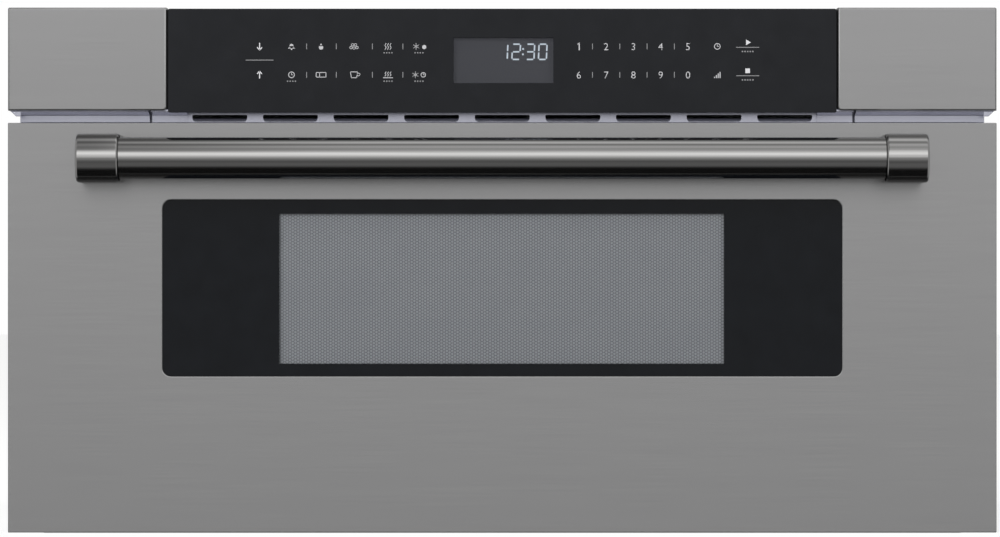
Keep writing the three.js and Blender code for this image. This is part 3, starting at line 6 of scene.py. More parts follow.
import bmesh
import bpy
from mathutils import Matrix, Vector

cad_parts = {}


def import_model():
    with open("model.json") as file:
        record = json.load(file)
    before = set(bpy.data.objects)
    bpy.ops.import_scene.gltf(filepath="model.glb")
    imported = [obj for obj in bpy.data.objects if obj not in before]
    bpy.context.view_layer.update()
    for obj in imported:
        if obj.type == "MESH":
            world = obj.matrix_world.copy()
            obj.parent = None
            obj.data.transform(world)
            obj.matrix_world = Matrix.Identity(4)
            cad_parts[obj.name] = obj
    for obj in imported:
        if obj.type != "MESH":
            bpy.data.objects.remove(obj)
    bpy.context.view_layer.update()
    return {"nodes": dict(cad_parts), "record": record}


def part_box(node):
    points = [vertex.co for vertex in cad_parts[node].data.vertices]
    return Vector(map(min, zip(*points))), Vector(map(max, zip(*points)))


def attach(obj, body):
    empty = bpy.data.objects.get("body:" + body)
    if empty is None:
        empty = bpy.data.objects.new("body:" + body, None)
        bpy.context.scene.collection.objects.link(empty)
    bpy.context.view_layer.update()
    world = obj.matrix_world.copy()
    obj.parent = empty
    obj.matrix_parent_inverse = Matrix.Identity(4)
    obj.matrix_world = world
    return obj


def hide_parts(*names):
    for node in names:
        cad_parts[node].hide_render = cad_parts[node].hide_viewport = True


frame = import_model()

MM = 0.001
X, Y, Z = Vector((1, 0, 0)), Vector((0, 1, 0)), Vector((0, 0, 1))
SHEET = 1.2
SEAT = 0.3
THROUGH = 5


# ---------------------------------------------------------------- modelling by hand


def corners(node):
    """A node's lowest and highest corners, in millimetres."""
    low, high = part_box(node)
    return low / MM, high / MM


def only(piece):
    """Leaves edit mode and selects this piece alone, or nothing."""
    if bpy.context.object and bpy.context.object.mode != "OBJECT":
        bpy.ops.object.mode_set(mode="OBJECT")
    bpy.ops.object.select_all(action="DESELECT")
    if piece:
        piece.select_set(True)
        bpy.context.view_layer.objects.active = piece


def settled(name):
    """Names the new primitive and puts its place and size into its mesh."""
    piece = bpy.context.object
    piece.name = name
    piece.data.name = name
    bpy.ops.object.transform_apply(location=True, rotation=True, scale=True)
    return piece


def block(name, low, high):
    """A cube stretched between two corners, in millimetres."""
    only(None)
    low, high = Vector(low), Vector(high)
    bpy.ops.mesh.primitive_cube_add(size=MM, location=(low + high) / 2 * MM)
    bpy.context.object.scale = high - low
    return settled(name)


def rod(name, radius, start, end, sides=48):
    """A cylinder between two points, in millimetres."""
    only(None)
    start, end = Vector(start), Vector(end)
    way = end - start
    bpy.ops.mesh.primitive_cylinder_add(
        vertices=sides, radius=radius * MM, depth=way.length * MM,
        location=(start + end) / 2 * MM, rotation=way.to_track_quat("Z", "Y").to_euler(),
    )
    return settled(name)


def edit(piece):
    only(piece)
    bpy.ops.object.mode_set(mode="EDIT")
    bpy.ops.mesh.select_mode(type="FACE")
    bpy.ops.mesh.select_all(action="DESELECT")


def edit_all(piece):
    edit(piece)
    bpy.ops.mesh.select_all(action="SELECT")


def pick(kind, test):
    """Selects the faces or edges whose middle, in millimetres, and normal or direction pass the test."""
    bpy.ops.mesh.select_mode(type=kind)
    bpy.ops.mesh.select_all(action="DESELECT")
    mesh = bpy.context.edit_object.data
    shape = bmesh.from_edit_mesh(mesh)
    for part in shape.faces if kind == "FACE" else shape.edges:
        if kind == "FACE":
            middle, way = part.calc_center_bounds(), part.normal
        else:
            start, end = (corner.co for corner in part.verts)
            middle, way = (start + end) / 2, (end - start).normalized()
        if test(middle / MM, way):
            part.select_set(True)
    bmesh.update_edit_mesh(mesh)


def pick_faces(test):
    pick("FACE", test)


def pick_edges(test):
    pick("EDGE", test)


def round_edges(radius, segments, test):
    """Rounds the edges that pass the test."""
    pick_edges(test)
    bpy.ops.mesh.bevel(offset=radius * MM, offset_type="OFFSET", segments=segments, affect="EDGES")


def near(value, target, within=0.05):
    return abs(value - target) < within


def along(way, axis):
    return abs(way.dot(axis)) > 0.99


def pull(x=0, y=0, z=0):
    """Extrudes what is selected by this much, in millimetres."""
    bpy.ops.mesh.extrude_region_move(TRANSFORM_OT_translate={"value": Vector((x, y, z)) * MM})


def shift(x=0, y=0, z=0):
    bpy.ops.transform.translate(value=Vector((x, y, z)) * MM)


def inset(width, depth=0):
    bpy.ops.mesh.inset(thickness=width * MM, depth=depth * MM)


def delete_faces():
    bpy.ops.mesh.delete(type="FACE")


def modify(piece, kind, **settings):
    """Adds a modifier and applies it."""
    only(piece)
    modifier = piece.modifiers.new(kind.lower(), kind)
    for setting, value in settings.items():
        setattr(modifier, setting, value)
    bpy.ops.object.modifier_apply(modifier=modifier.name)


def soften(piece, radius, segments=2, angle=40):
    """Rounds every sharp edge."""
    modify(
        piece, "BEVEL", width=radius * MM, segments=segments, limit_method="ANGLE",
        angle_limit=math.radians(angle), use_clamp_overlap=True,
    )


def thicken(piece, sheet):
    """Gives an open shell its wall, on its inner side."""
    modify(piece, "SOLIDIFY", thickness=sheet * MM, offset=-1, use_even_offset=True)


def cut_out(piece, *tools):
    for tool in tools:
        modify(piece, "BOOLEAN", operation="DIFFERENCE", solver="EXACT", object=tool)
        bpy.data.objects.remove(tool)


def smooth(piece, angle=35):
    """Shades round what is round, and keeps flat what is flat."""
    only(piece)
    bpy.ops.object.shade_smooth_by_angle(angle=math.radians(angle))
    modify(piece, "WEIGHTED_NORMAL", keep_sharp=True)


def copied(piece, name):
    twin = piece.copy()
    twin.data = piece.data.copy()
    twin.name = name
    twin.data.name = name
    bpy.context.scene.collection.objects.link(twin)
    return twin


def moved(piece, x=0, y=0, z=0):
    edit_all(piece)
    shift(x, y, z)
    only(piece)
    return piece


def mirrored(piece, name):
    """A copy on the other side of the plane x = 0, its faces turned out again."""
    twin = copied(piece, name)
    edit_all(twin)
    bpy.ops.transform.resize(value=(-1, 1, 1), center_override=(0, 0, 0))
    bpy.ops.mesh.flip_normals()
    only(twin)
    return twin


def turned(piece, degrees, axis, centre):
    edit_all(piece)
    bpy.ops.transform.rotate(
        value=math.radians(degrees), orient_axis=axis, center_override=Vector(centre) * MM
    )
    only(piece)
    return piece


def joined(name, pieces):
    """Several shells as one piece."""
    only(pieces[0])
    for piece in pieces[1:]:
        piece.select_set(True)
    if len(pieces) > 1:
        bpy.ops.object.join()
    pieces[0].name = name
    pieces[0].data.name = name
    return pieces[0]


def rounded_block(name, low, high, radius, axis, segments=6):
    """A block whose four edges along one axis are rounded."""
    piece = block(name, low, high)
    edit(piece)
    round_edges(radius, segments, lambda at, way: along(way, axis))
    only(piece)
    return piece


def open_tray(name, low, high, open_side):
    """The shell of a block with one side taken away, left in edit mode."""
    piece = block(name, low, high)
    edit(piece)
    pick_faces(lambda at, way: way.dot(open_side) > 0.9)
    delete_faces()
    return piece


def fit(piece, slot, body, *nodes, finish=None):
    """Gives a piece its slot's finish, or another, its body, and the nodes that it stands for."""
    piece.data.materials.clear()
    piece.data.materials.append((finish or FINISHES[slot]).material)
    if nodes:
        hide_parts(*nodes)
    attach(piece, body)


def smooth_and_fit(piece, slot, body, *nodes, **choice):
    smooth(piece)
    fit(piece, slot, body, *nodes, **choice)


def fit_pair(right, left_name, slot, body, right_node, left_node):
    """Fits a right piece, and its mirror image on the left."""
    left = mirrored(right, left_name)
    smooth_and_fit(right, slot, body, right_node)
    smooth_and_fit(left, slot, body, left_node)


# ---------------------------------------------------------------- finishes


def with_alpha(colour):
    """A colour with its alpha, from a colour or a grey."""
    return (*colour, 1) if hasattr(colour, "__len__") else (colour, colour, colour, 1)


class Tree:
    """The nodes of a material or of the world."""

    def __init__(self, owner):
        owner.use_nodes = True
        self.nodes, self.links = owner.node_tree.nodes, owner.node_tree.links

    def node(self, kind, inputs=(), **settings):
        """A new node with its settings, and with a value or another node's output for each input."""
        node = self.nodes.new("ShaderNode" + kind)
        for setting, value in settings.items():
            setattr(node, setting, value)
        for name, value in dict(inputs).items():
            socket = node.inputs[name]
            if hasattr(value, "is_linked"):
                self.links.new(value, socket)
            else:
                socket.default_value = with_alpha(value) if socket.type == "RGBA" else value
        return node

    def math(self, operation, *terms):
        return self.node("Math", enumerate(terms), operation=operation).outputs["Value"]

    def mix(self, factor, first, second):
        return self.node("Mix", {0: factor, 6: first, 7: second}, data_type="RGBA").outputs[2]

    def rise(self, value, start, end, curve="LINEAR"):
        """From 0 to 1 while the value goes from start to end."""
        inputs = {"Value": value, "From Min": start, "From Max": end}
        return self.node("MapRange", inputs, interpolation_type=curve).outputs["Result"]

    def ramp(self, factor, *stops):
        """Colours along a factor: each stop is a place from 0 to 1 and a colour or a grey."""
        ramp = self.node("ValToRGB", {"Fac": factor})
        steps = ramp.color_ramp.elements
        while len(steps) < len(stops):
            steps.new(0.5)
        for step, (place, colour) in zip(steps, stops):
            step.position = place
            step.color = with_alpha(colour)
        return ramp.outputs["Color"]


class Finish(Tree):
    """A material on one surface shader, with patterns read from the object's own coordinates."""

    def __init__(self, name, **values):
        self.material = bpy.data.materials.new(name)
        super().__init__(self.material)
        self.surface = self.nodes["Principled BSDF"]
        sockets = {socket.name.lower(): socket for socket in self.surface.inputs}
        for socket, value in values.items():
            sockets[socket.replace("_", " ")].default_value = value
        self.place = self.node("TexCoord").outputs["Object"]

    def link(self, output, socket):
        self.links.new(output, self.surface.inputs[socket])

    def vary(self, socket, factor, low, high, start=0.3, end=0.7):
        """Takes a socket from a low to a high value or colour while the factor goes from start to end."""
        self.link(self.ramp(factor, (start, low), (end, high)), socket)

    def stretched(self, x=1, y=1, z=1):
        return self.node("Mapping", {"Vector": self.place, "Scale": (x, y, z)}).outputs["Vector"]

    def noise(self, scale, detail=2, where=None):
        inputs = {"Vector": where or self.place, "Scale": scale, "Detail": detail}
        return self.node("TexNoise", inputs).outputs["Fac"]

    def cells(self, scale, output="Color"):
        return self.node("TexVoronoi", {"Vector": self.place, "Scale": scale}).outputs[output]

    def bump(self, height, strength, distance):
        inputs = {"Height": height, "Strength": strength, "Distance": distance * MM}
        self.link(self.node("Bump", inputs).outputs["Normal"], "Normal")

    def grain(self, axis):
        """Turns the surface's anisotropy round an axis, across the brush's strokes."""
        tangent = self.node("Tangent", direction_type="RADIAL", axis=axis)
        self.link(tangent.outputs["Tangent"], "Tangent")

    def within(self, x0, x1, z0, z1, blur):
        """1 inside a rectangle seen from the front, 0 outside it, in millimetres."""
        split = self.node("SeparateXYZ", {"Vector": self.place}).outputs
        sides = []
        for output, low, high in (("X", x0, x1), ("Z", z0, z1)):
            middle, half = (low + high) / 2 * MM, (high - low) / 2 * MM
            away = self.math("ABSOLUTE", self.math("SUBTRACT", split[output], middle))
            sides.append(self.rise(away, half + blur * MM, half - blur * MM))
        return self.math("MULTIPLY", *sides)

    def see_through(self, window, share, blur=0.15):
        """Lets a share of the light through inside a window."""
        passing = self.math("MULTIPLY", self.within(*window, blur), share)
        self.link(self.math("SUBTRACT", 1.0, passing), "Alpha")


def brushed_steel():
    """Stainless sheet, brushed along its length: fine streaks, and lights drawn out across them."""
    steel = Finish("brushed_steel", metallic=1.0, roughness=0.22, anisotropic=0.4)
    streaks = steel.noise(1, 4, steel.stretched(x=14, y=500, z=900))
    broad = steel.noise(1, 3, steel.stretched(x=5, y=60, z=120))
    tone = steel.mix(0.35, streaks, broad)
    steel.vary("Base Color", tone, (0.585, 0.584, 0.586), (0.615, 0.614, 0.615))
    steel.vary("Roughness", streaks, 0.20, 0.25, 0.2, 0.8)
    steel.bump(streaks, 0.03, 0.01)
    steel.grain("X")
    return steel


def handle_steel():
    """Stainless tube and posts, drawn and polished along their length."""
    steel = Finish("handle_steel", metallic=1.0, roughness=0.10, anisotropic=0.2)
    strokes = steel.noise(1, 3, steel.stretched(x=10, y=1400, z=1400))
    steel.vary("Base Color", strokes, (0.56, 0.555, 0.545), (0.61, 0.605, 0.6))
    steel.vary("Roughness", strokes, 0.07, 0.10, 0.2, 0.8)
    steel.bump(strokes, 0.03, 0.01)
    steel.grain("X")
    return steel


def painted_sheet():
    """Satin metallic paint, pale with a faint blue, slightly pebbled."""
    paint = Finish("painted_sheet", roughness=0.24, metallic=0.9)
    pebble = paint.noise(900, 2)
    tone = paint.noise(25, 3)
    paint.vary("Base Color", tone, (0.80, 0.81, 0.935), (0.85, 0.86, 0.99))
    paint.bump(pebble, 0.08, 0.05)
    return paint


def galvanised_sheet():
    """Zinc-coated sheet with its spangle."""
    zinc = Finish("galvanised_sheet", metallic=0.75, roughness=0.45)
    spangle = zinc.cells(110)
    greys = (0.50, 0.52, 0.54), (0.61, 0.63, 0.64), (0.72, 0.73, 0.74)
    crystals = zinc.ramp(spangle, *zip((0.0, 0.5, 1.0), greys))
    haze = zinc.ramp(zinc.noise(9, 4), (0.35, (0.57, 0.585, 0.60)), (0.65, (0.65, 0.665, 0.675)))
    zinc.link(zinc.mix(0.35, haze, crystals), "Base Color")
    zinc.vary("Roughness", spangle, 0.38, 0.55, 0.1, 0.9)
    return zinc


def slide_steel():
    """Bright zinc plate on rolled steel, with rolling lines along its length."""
    plate = Finish("slide_steel", metallic=1.0, roughness=0.28)
    lines = plate.noise(1, 3, plate.stretched(x=900, y=12, z=900))
    plate.vary("Base Color", lines, (0.60, 0.61, 0.61), (0.70, 0.71, 0.71))
    plate.vary("Roughness", lines, 0.24, 0.36, 0.2, 0.8)
    return plate


def enamel():
    """Baked enamel, light grey, with a faint orange peel and fine specks."""
    coat = Finish("enamel", roughness=0.22, coat_weight=0.3, coat_roughness=0.08)
    specks = coat.ramp(coat.noise(1600, 1), (0.60, 0.0), (0.68, 1.0))
    coat.link(coat.mix(specks, (0.56, 0.57, 0.58), (0.40, 0.41, 0.42)), "Base Color")
    coat.bump(coat.noise(220, 2), 0.12, 0.08)
    return coat


def control_glass(window):
    """Glass printed black behind, with a smoked window over the display."""
    glass = Finish("control_glass", roughness=0.06, specular_ior_level=0.34)
    dust = glass.noise(60, 3)
    glass.vary("Base Color", dust, (0.0066, 0.0072, 0.0088), (0.0084, 0.0091, 0.0110))
    glass.vary("Roughness", dust, 0.05, 0.09)
    glass.see_through(window, 0.85)
    return glass


def door_glass(window):
    """Tinted glass with a black printed border round a window that is clear from straight in front."""
    glass = Finish("door_glass", roughness=0.05, specular_ior_level=0.36)
    dust = glass.noise(50, 3)
    glass.vary("Base Color", dust, (0.0024, 0.0030, 0.0042), (0.0036, 0.0044, 0.0060))
    glass.vary("Roughness", dust, 0.04, 0.08)
    slant = glass.node("LayerWeight").outputs["Facing"]
    glass.see_through(window, glass.ramp(slant, (0.12, 0.9), (0.6, 0.0)), blur=0.5)
    return glass


def clear_glass():
    """The inner pane: nearly clear, a little green, with a film of dust."""
    pane = Finish("clear_glass", roughness=0.04, alpha=0.22)
    haze = pane.noise(40, 3)
    pane.vary("Base Color", haze, (0.10, 0.12, 0.115), (0.16, 0.18, 0.175))
    return pane


def display_filter():
    """The display behind its smoked filter: a faintly lit grey field with a fine raster."""
    field = Finish("display_filter", roughness=0.35, emission_strength=1.0)
    raster = field.noise(1200, 1)
    field.vary("Base Color", raster, (0.030, 0.031, 0.035), (0.036, 0.037, 0.041))
    field.vary("Emission Color", raster, (0.029, 0.030, 0.036), (0.035, 0.036, 0.043))
    return field


def display_light():
    """Lit segments, a cold white."""
    lit = Finish("display_light", roughness=0.4, emission_strength=1.0)
    glow = lit.noise(700, 1)
    lit.vary("Base Color", glow, (0.05, 0.06, 0.07), (0.06, 0.07, 0.08))
    lit.vary("Emission Color", glow, (0.62, 0.70, 0.79), (0.70, 0.79, 0.89))
    return lit


def screen_print(name, level):
    """Screen print, thin enough for the glass to grey it."""
    ink = Finish(name, roughness=0.5)
    thin, full = [(level * cover, level * cover, level * cover * 1.03) for cover in (0.9, 1.1)]
    ink.vary("Base Color", ink.noise(900, 2), thin, full)
    return ink


def screen_steel():
    """The shielding screen: bare grey steel, dulled by its coat."""
    coat = Finish("screen_steel", metallic=0.8, roughness=0.38)
    mottle = coat.noise(300, 2)
    coat.vary("Base Color", mottle, (0.42, 0.44, 0.475), (0.46, 0.48, 0.515))
    return coat


def screen_film():
    """The pale pearly film behind the screen, which keeps steam out of its holes."""
    film = Finish("screen_film", metallic=0.6, roughness=0.35, alpha=0.85)
    cloud = film.noise(30, 3)
    film.vary("Base Color", cloud, (0.85, 0.89, 0.95), (0.90, 0.94, 0.99))
    return film


def ceramic():
    """White glass ceramic with a few pale specks."""
    glaze = Finish("ceramic", roughness=0.12, coat_weight=0.4, coat_roughness=0.05)
    specks = glaze.ramp(glaze.noise(800, 2), (0.62, 0.0), (0.70, 1.0))
    glaze.link(glaze.mix(specks, (0.78, 0.78, 0.76), (0.62, 0.61, 0.58)), "Base Color")
    glaze.bump(glaze.noise(60, 2), 0.05, 0.1)
    return glaze


def moulded(name, dark, light, roughness=0.5, texture=1400):
    """Moulded plastic with a fine spark texture."""
    plastic = Finish(name, roughness=roughness)
    plastic.vary("Base Color", plastic.noise(40, 3), dark, light)
    spark = plastic.noise(texture, 2)
    plastic.vary("Roughness", spark, roughness - 0.06, roughness + 0.08, 0.2, 0.8)
    plastic.bump(spark, 0.15, 0.03)
    return plastic


def circuit_board():
    """Green solder mask over copper tracks, with pale pads."""
    board = Finish("circuit_board", roughness=0.35)
    upright = board.node("Mapping", {"Vector": board.place, "Rotation": (math.radians(90), 0, 0)})
    tracks = board.node("TexBrick", {
        "Vector": upright.outputs["Vector"], "Scale": 160, "Mortar Size": 0.06,
        "Color1": (0.018, 0.115, 0.055), "Color2": (0.022, 0.150, 0.070), "Mortar": (0.045, 0.230, 0.110),
    })
    pads = board.ramp(board.cells(260, "Distance"), (0.10, 1.0), (0.14, 0.0))
    board.link(board.mix(pads, tracks.outputs["Color"], (0.55, 0.56, 0.52)), "Base Color")
    return board


def aluminium():
    """Bare aluminium fins and can."""
    metal = Finish("aluminium", metallic=1.0, roughness=0.35)
    strokes = metal.noise(1, 3, metal.stretched(x=40, y=40, z=900))
    metal.vary("Base Color", strokes, (0.66, 0.66, 0.67), (0.76, 0.76, 0.77))
    return metal


def core_iron():
    """Varnished laminations: thin dark lines across a brown lacquer."""
    iron = Finish("core_iron", metallic=0.4, roughness=0.38, coat_weight=0.5, coat_roughness=0.2)
    plates = iron.noise(1, 2, iron.stretched(x=20, y=1300, z=20))
    iron.vary("Base Color", plates, (0.10, 0.055, 0.03), (0.30, 0.17, 0.10), 0.4, 0.6)
    iron.bump(plates, 0.4, 0.1)
    return iron


GLASS_LOW, GLASS_HIGH = corners("door_glass")
GLASS_CORNER, GLASS_EDGE = 3, 0.5
DISPLAY_LOW, DISPLAY_HIGH = corners("display_module")
WINDOW_LOW, WINDOW_HIGH = corners("inner_window")
CLEAR_LEFT, CLEAR_RIGHT, CLEAR_BELOW, CLEAR_ABOVE = 0.3, 0.6, 0.9, 0.7
CLEAR_WINDOW = (
    WINDOW_LOW.x - CLEAR_LEFT, WINDOW_HIGH.x - CLEAR_RIGHT,
    WINDOW_LOW.z - CLEAR_BELOW, WINDOW_HIGH.z - CLEAR_ABOVE,
)
DISPLAY_RIM, DISPLAY_BORDER, DISPLAY_RECESS = 0.4, 0.8, 0.2
DISPLAY_WINDOW = (
    DISPLAY_LOW.x - DISPLAY_RIM, DISPLAY_HIGH.x + DISPLAY_RIM,
    DISPLAY_LOW.z - DISPLAY_RIM, DISPLAY_HIGH.z + DISPLAY_RIM,
)

PLAIN_FINISHES = (
    brushed_steel, handle_steel, painted_sheet, galvanised_sheet, slide_steel, enamel, clear_glass,
    screen_steel, ceramic, circuit_board, aluminium, core_iron,
)
FINISHES = {finish.__name__: finish() for finish in PLAIN_FINISHES}
FINISHES.update({
    "control_glass": control_glass(DISPLAY_WINDOW),
    "door_glass": door_glass(CLEAR_WINDOW),
    "display": display_filter(),
    "black_plastic": moulded("black_plastic", (0.030, 0.031, 0.034), (0.042, 0.043, 0.046), 0.55),
    "white_plastic": moulded("white_plastic", (0.74, 0.74, 0.70), (0.80, 0.80, 0.77), 0.42, 900),
    "gear_nylon": moulded("gear_nylon", (0.72, 0.69, 0.60), (0.78, 0.76, 0.68), 0.5, 700),
})


def dress_frame():
    """Each node of the frame gets the finish of its own slot."""
    for part in frame["record"]["subparts"]:
        node = frame["nodes"][part["node"]]
        node.data.materials.clear()
        node.data.materials.append(FINISHES[part["material_slot"]].material)


dress_frame()


# ---------------------------------------------------------------- door

SKIN_LOW, SKIN_HIGH = corners("front_skin")
FRONT_Y = SKIN_LOW.y
OPENING_HALF_WIDTH, OPENING_LOW_Z, OPENING_HIGH_Z = 260.8, 122.1, 257.2
OPENING_RADIUS, OPENING_EDGE = 6.5, 0.9
SKIN_FOLD_RADIUS, SKIN_TOP_FALL = 0.7, 0.5


def front_skin():
    """The door's face: one sheet folded back all round, with the window's opening punched out."""
    skin = open_tray("door_skin", SKIN_LOW, SKIN_HIGH - SKIN_TOP_FALL * Z, Y)
    round_edges(SKIN_FOLD_RADIUS, 4, lambda at, way: not near(at.y, SKIN_HIGH.y))
    only(skin)
    thicken(skin, SHEET)
    cut_out(skin, rounded_block(
        "opening", (-OPENING_HALF_WIDTH, FRONT_Y - THROUGH, OPENING_LOW_Z),
        (OPENING_HALF_WIDTH, FRONT_Y + THROUGH, OPENING_HIGH_Z), OPENING_RADIUS, Y, 8,
    ))
    edit(skin)

    def on_opening(at, way):
        beside = abs(at.x) < OPENING_HALF_WIDTH + 0.1
        return near(at.y, FRONT_Y) and beside and OPENING_LOW_Z - 0.1 < at.z < OPENING_HIGH_Z + 0.1

    round_edges(OPENING_EDGE, 3, on_opening)
    smooth_and_fit(skin, "brushed_steel", "drawer", "front_skin")


def glass_pane():
    """The door's outer glass, its edges ground."""
    pane = rounded_block("door_pane", GLASS_LOW, GLASS_HIGH, GLASS_CORNER, Y)
    soften(pane, GLASS_EDGE, 2)
    smooth_and_fit(pane, "door_glass", "drawer", "door_glass")


HOLE_PITCH, HOLE_RADIUS = 2.4, 0.86
SCREEN_THICKNESS = 0.5
WELD = 0.02
FILM_INSET, FILM_GAP, FILM_THICKNESS, FILM_CORNER = 1, 0.1, 0.2, 3
SCREEN_LOW, SCREEN_HIGH = corners("shield_screen")


def screen_half(name, side):
    """Half of the screen: six-sided cells, each with a hole, every other column raised."""
    column = HOLE_PITCH * math.sqrt(3) / 2
    front = SCREEN_LOW.y
    cell = rod(name, HOLE_PITCH / math.sqrt(3), (0, front, 0), (0, front + SCREEN_THICKNESS, 0), 6)
    turned(cell, 30, "Y", (0, front, 0))
    edit(cell)
    pick_faces(lambda at, way: not along(way, Y))
    delete_faces()
    pick_faces(lambda at, way: along(way, Y))
    inset(HOLE_PITCH / 2 - HOLE_RADIUS)
    bpy.ops.mesh.bridge_edge_loops()
    only(cell)
    beside = moved(copied(cell, "beside"), x=column, z=HOLE_PITCH / 2)
    cell = joined(name, [cell, beside])
    columns = math.floor((SCREEN_HIGH.x - column) / (2 * column))
    rows = math.floor((SCREEN_HIGH.z - SCREEN_LOW.z) / HOLE_PITCH) - 1
    steps = ((columns, (2 * column * MM, 0, 0)), (rows, (0, 0, HOLE_PITCH * MM)))
    for count, offset in steps:
        modify(
            cell, "ARRAY", count=count, use_relative_offset=False, use_constant_offset=True,
            constant_offset_displace=offset, use_merge_vertices=True, merge_threshold=WELD * MM,
        )
    edit_all(cell)
    bpy.ops.mesh.remove_doubles(threshold=WELD * MM)
    middle_z = (SCREEN_LOW.z + SCREEN_HIGH.z) / 2
    shift(x=column / 2, z=middle_z - (rows - 0.5) * HOLE_PITCH / 2)
    bpy.ops.mesh.select_all(action="DESELECT")
    bpy.ops.mesh.select_mode(type="EDGE")
    bpy.ops.mesh.select_non_manifold(
        extend=False, use_wire=False, use_multi_face=False, use_non_contiguous=False
    )
    bpy.ops.mesh.bridge_edge_loops()
    bpy.ops.mesh.select_all(action="SELECT")
    bpy.ops.mesh.normals_make_consistent(inside=False)
    only(cell)
    return cell if side > 0 else turned(cell, 180, "Y", (0, front, middle_z))


def shielding_screen():
    """Two halves of perforated sheet, and the film behind them."""
    for name, side in (("right_screen", 1), ("left_screen", -1)):
        fit(screen_half(name, side), "screen_steel", "drawer", "shield_screen")
    film_back = SCREEN_HIGH.y - FILM_GAP
    film = rounded_block(
        "screen_film", (SCREEN_LOW.x + FILM_INSET, film_back - FILM_THICKNESS, SCREEN_LOW.z + FILM_INSET),
        (SCREEN_HIGH.x - FILM_INSET, film_back, SCREEN_HIGH.z - FILM_INSET), FILM_CORNER, Y,
    )
    smooth_and_fit(film, "white_plastic", "drawer", finish=screen_film())


CAVITY_FLOOR_Z = 68
CHOKE_OVERLAP, CHOKE_WIDTH, CHOKE_HEIGHT = 4, 10, 1.6
CHOKE_CORNER, CHOKE_HOLE_CORNER, CHOKE_EDGE = 10, 6, 0.6
LINER_SHEET, LINER_FOLD, LINER_HOLE_CORNER = 1.5, 3, 5
INNER_PANE_CORNER, INNER_PANE_EDGE = 4.7, 0.3


def door_back():
    """The inner panel with its rounded window, the choke cover round it and the inner pane."""
    low, high = corners("inner_panel")
    panel = open_tray("door_liner", low, high, -Y)
    round_edges(LINER_FOLD, 4, lambda at, way: not near(at.y, low.y))
    only(panel)
    thicken(panel, LINER_SHEET)
    cut_out(panel, rounded_block(
        "hole", (WINDOW_LOW.x - SEAT, low.y - THROUGH, WINDOW_LOW.z - SEAT),
        (WINDOW_HIGH.x + SEAT, high.y + THROUGH, WINDOW_HIGH.z + SEAT), LINER_HOLE_CORNER, Y,
    ))
    smooth_and_fit(panel, "enamel", "drawer", "inner_panel")

    cavity_low, cavity_high = corners("oven_cavity")
    cavity_low.z = CAVITY_FLOOR_Z
    rim = Vector((CHOKE_OVERLAP, 0, CHOKE_OVERLAP))
    band = Vector((CHOKE_WIDTH, 0, CHOKE_WIDTH))
    outer_low, outer_high = cavity_low - rim, cavity_high + rim
    outer_low.y, outer_high.y = high.y, high.y + CHOKE_HEIGHT
    cover = rounded_block("choke_cover", outer_low, outer_high, CHOKE_CORNER, Y)
    hole_low, hole_high = outer_low + band - THROUGH * Y, outer_high - band + THROUGH * Y
    cut_out(cover, rounded_block("hollow", hole_low, hole_high, CHOKE_HOLE_CORNER, Y))
    soften(cover, CHOKE_EDGE, 2)
    smooth_and_fit(cover, "black_plastic", "drawer")

    pane = rounded_block("inner_pane", WINDOW_LOW, WINDOW_HIGH, INNER_PANE_CORNER, Y)
    soften(pane, INNER_PANE_EDGE, 2)
    smooth_and_fit(pane, "clear_glass", "drawer", "inner_window")


front_skin()
glass_pane()
shielding_screen()
door_back()


# ---------------------------------------------------------------- handle

BAR_LOW, BAR_HIGH = corners("handle_bar")
BAR_AXIS_Y = (BAR_LOW.y + BAR_HIGH.y) / 2
BAR_AXIS_Z = (BAR_LOW.z + BAR_HIGH.z) / 2
BAR_RADIUS = (BAR_HIGH.z - BAR_LOW.z) / 2
BAR_WALL, BAR_BORE = 1.5, 30
POST_SOCKET, POST_EDGE, POST_TRIM = 10, 2, 0.4
POST_ROUND_SHORT, POST_RIM_LEFT = 0.01, 0.4
KEY_RADIUS, KEY_BEHIND_AXIS, KEY_DEPTH, KEY_BELOW = 1.6, 14, 4, 2


def handle_bar():
    """A tube, open at its ends inside the posts."""
    ends = [(x, BAR_AXIS_Y, BAR_AXIS_Z) for x in (BAR_LOW.x, BAR_HIGH.x)]
    bar = rod("bar", BAR_RADIUS, *ends, 96)
    edit(bar)
    pick_faces(lambda at, way: along(way, X))
    inset(BAR_WALL)
    for side in (1, -1):
        pick_faces(lambda at, way: along(way, X) and at.x * side > 0 and near(at.z, BAR_AXIS_Z))
        pull(x=-side * BAR_BORE)
    smooth_and_fit(bar, "handle_steel", "drawer", "handle_bar")


def handle_post():
    """The right post: round in front, with the bar's socket and the hole of its set screw."""
    low, high = corners("right_handle_post")
    high.x -= POST_TRIM
    radius = (high.z - low.z) / 2
    post = block("right_post", low, high)
    edit(post)
    round_edges(radius - POST_ROUND_SHORT, 24, lambda at, way: along(way, X) and near(at.y, low.y))
    only(post)
    rim = BAR_RADIUS + SEAT
    socket = rod(
        "socket", rim, (low.x - THROUGH, BAR_AXIS_Y, BAR_AXIS_Z),
        (low.x + POST_SOCKET, BAR_AXIS_Y, BAR_AXIS_Z), 96,
    )
    key_x, key_y = (low.x + high.x) / 2, BAR_AXIS_Y + KEY_BEHIND_AXIS
    key = rod("key", KEY_RADIUS, (key_x, key_y, low.z - KEY_BELOW), (key_x, key_y, low.z + KEY_DEPTH), 6)
    cut_out(post, socket, key)
    edit(post)

    def at_an_end(at, way):
        return not along(way, X) and (near(at.x, low.x) or near(at.x, high.x))

    round_edges(min(POST_EDGE, radius - rim - POST_RIM_LEFT), 3, at_an_end)
    only(post)
    return post


handle_bar()
fit_pair(handle_post(), "left_post", "handle_steel", "drawer", "right_handle_post", "left_handle_post")


# ---------------------------------------------------------------- control panel

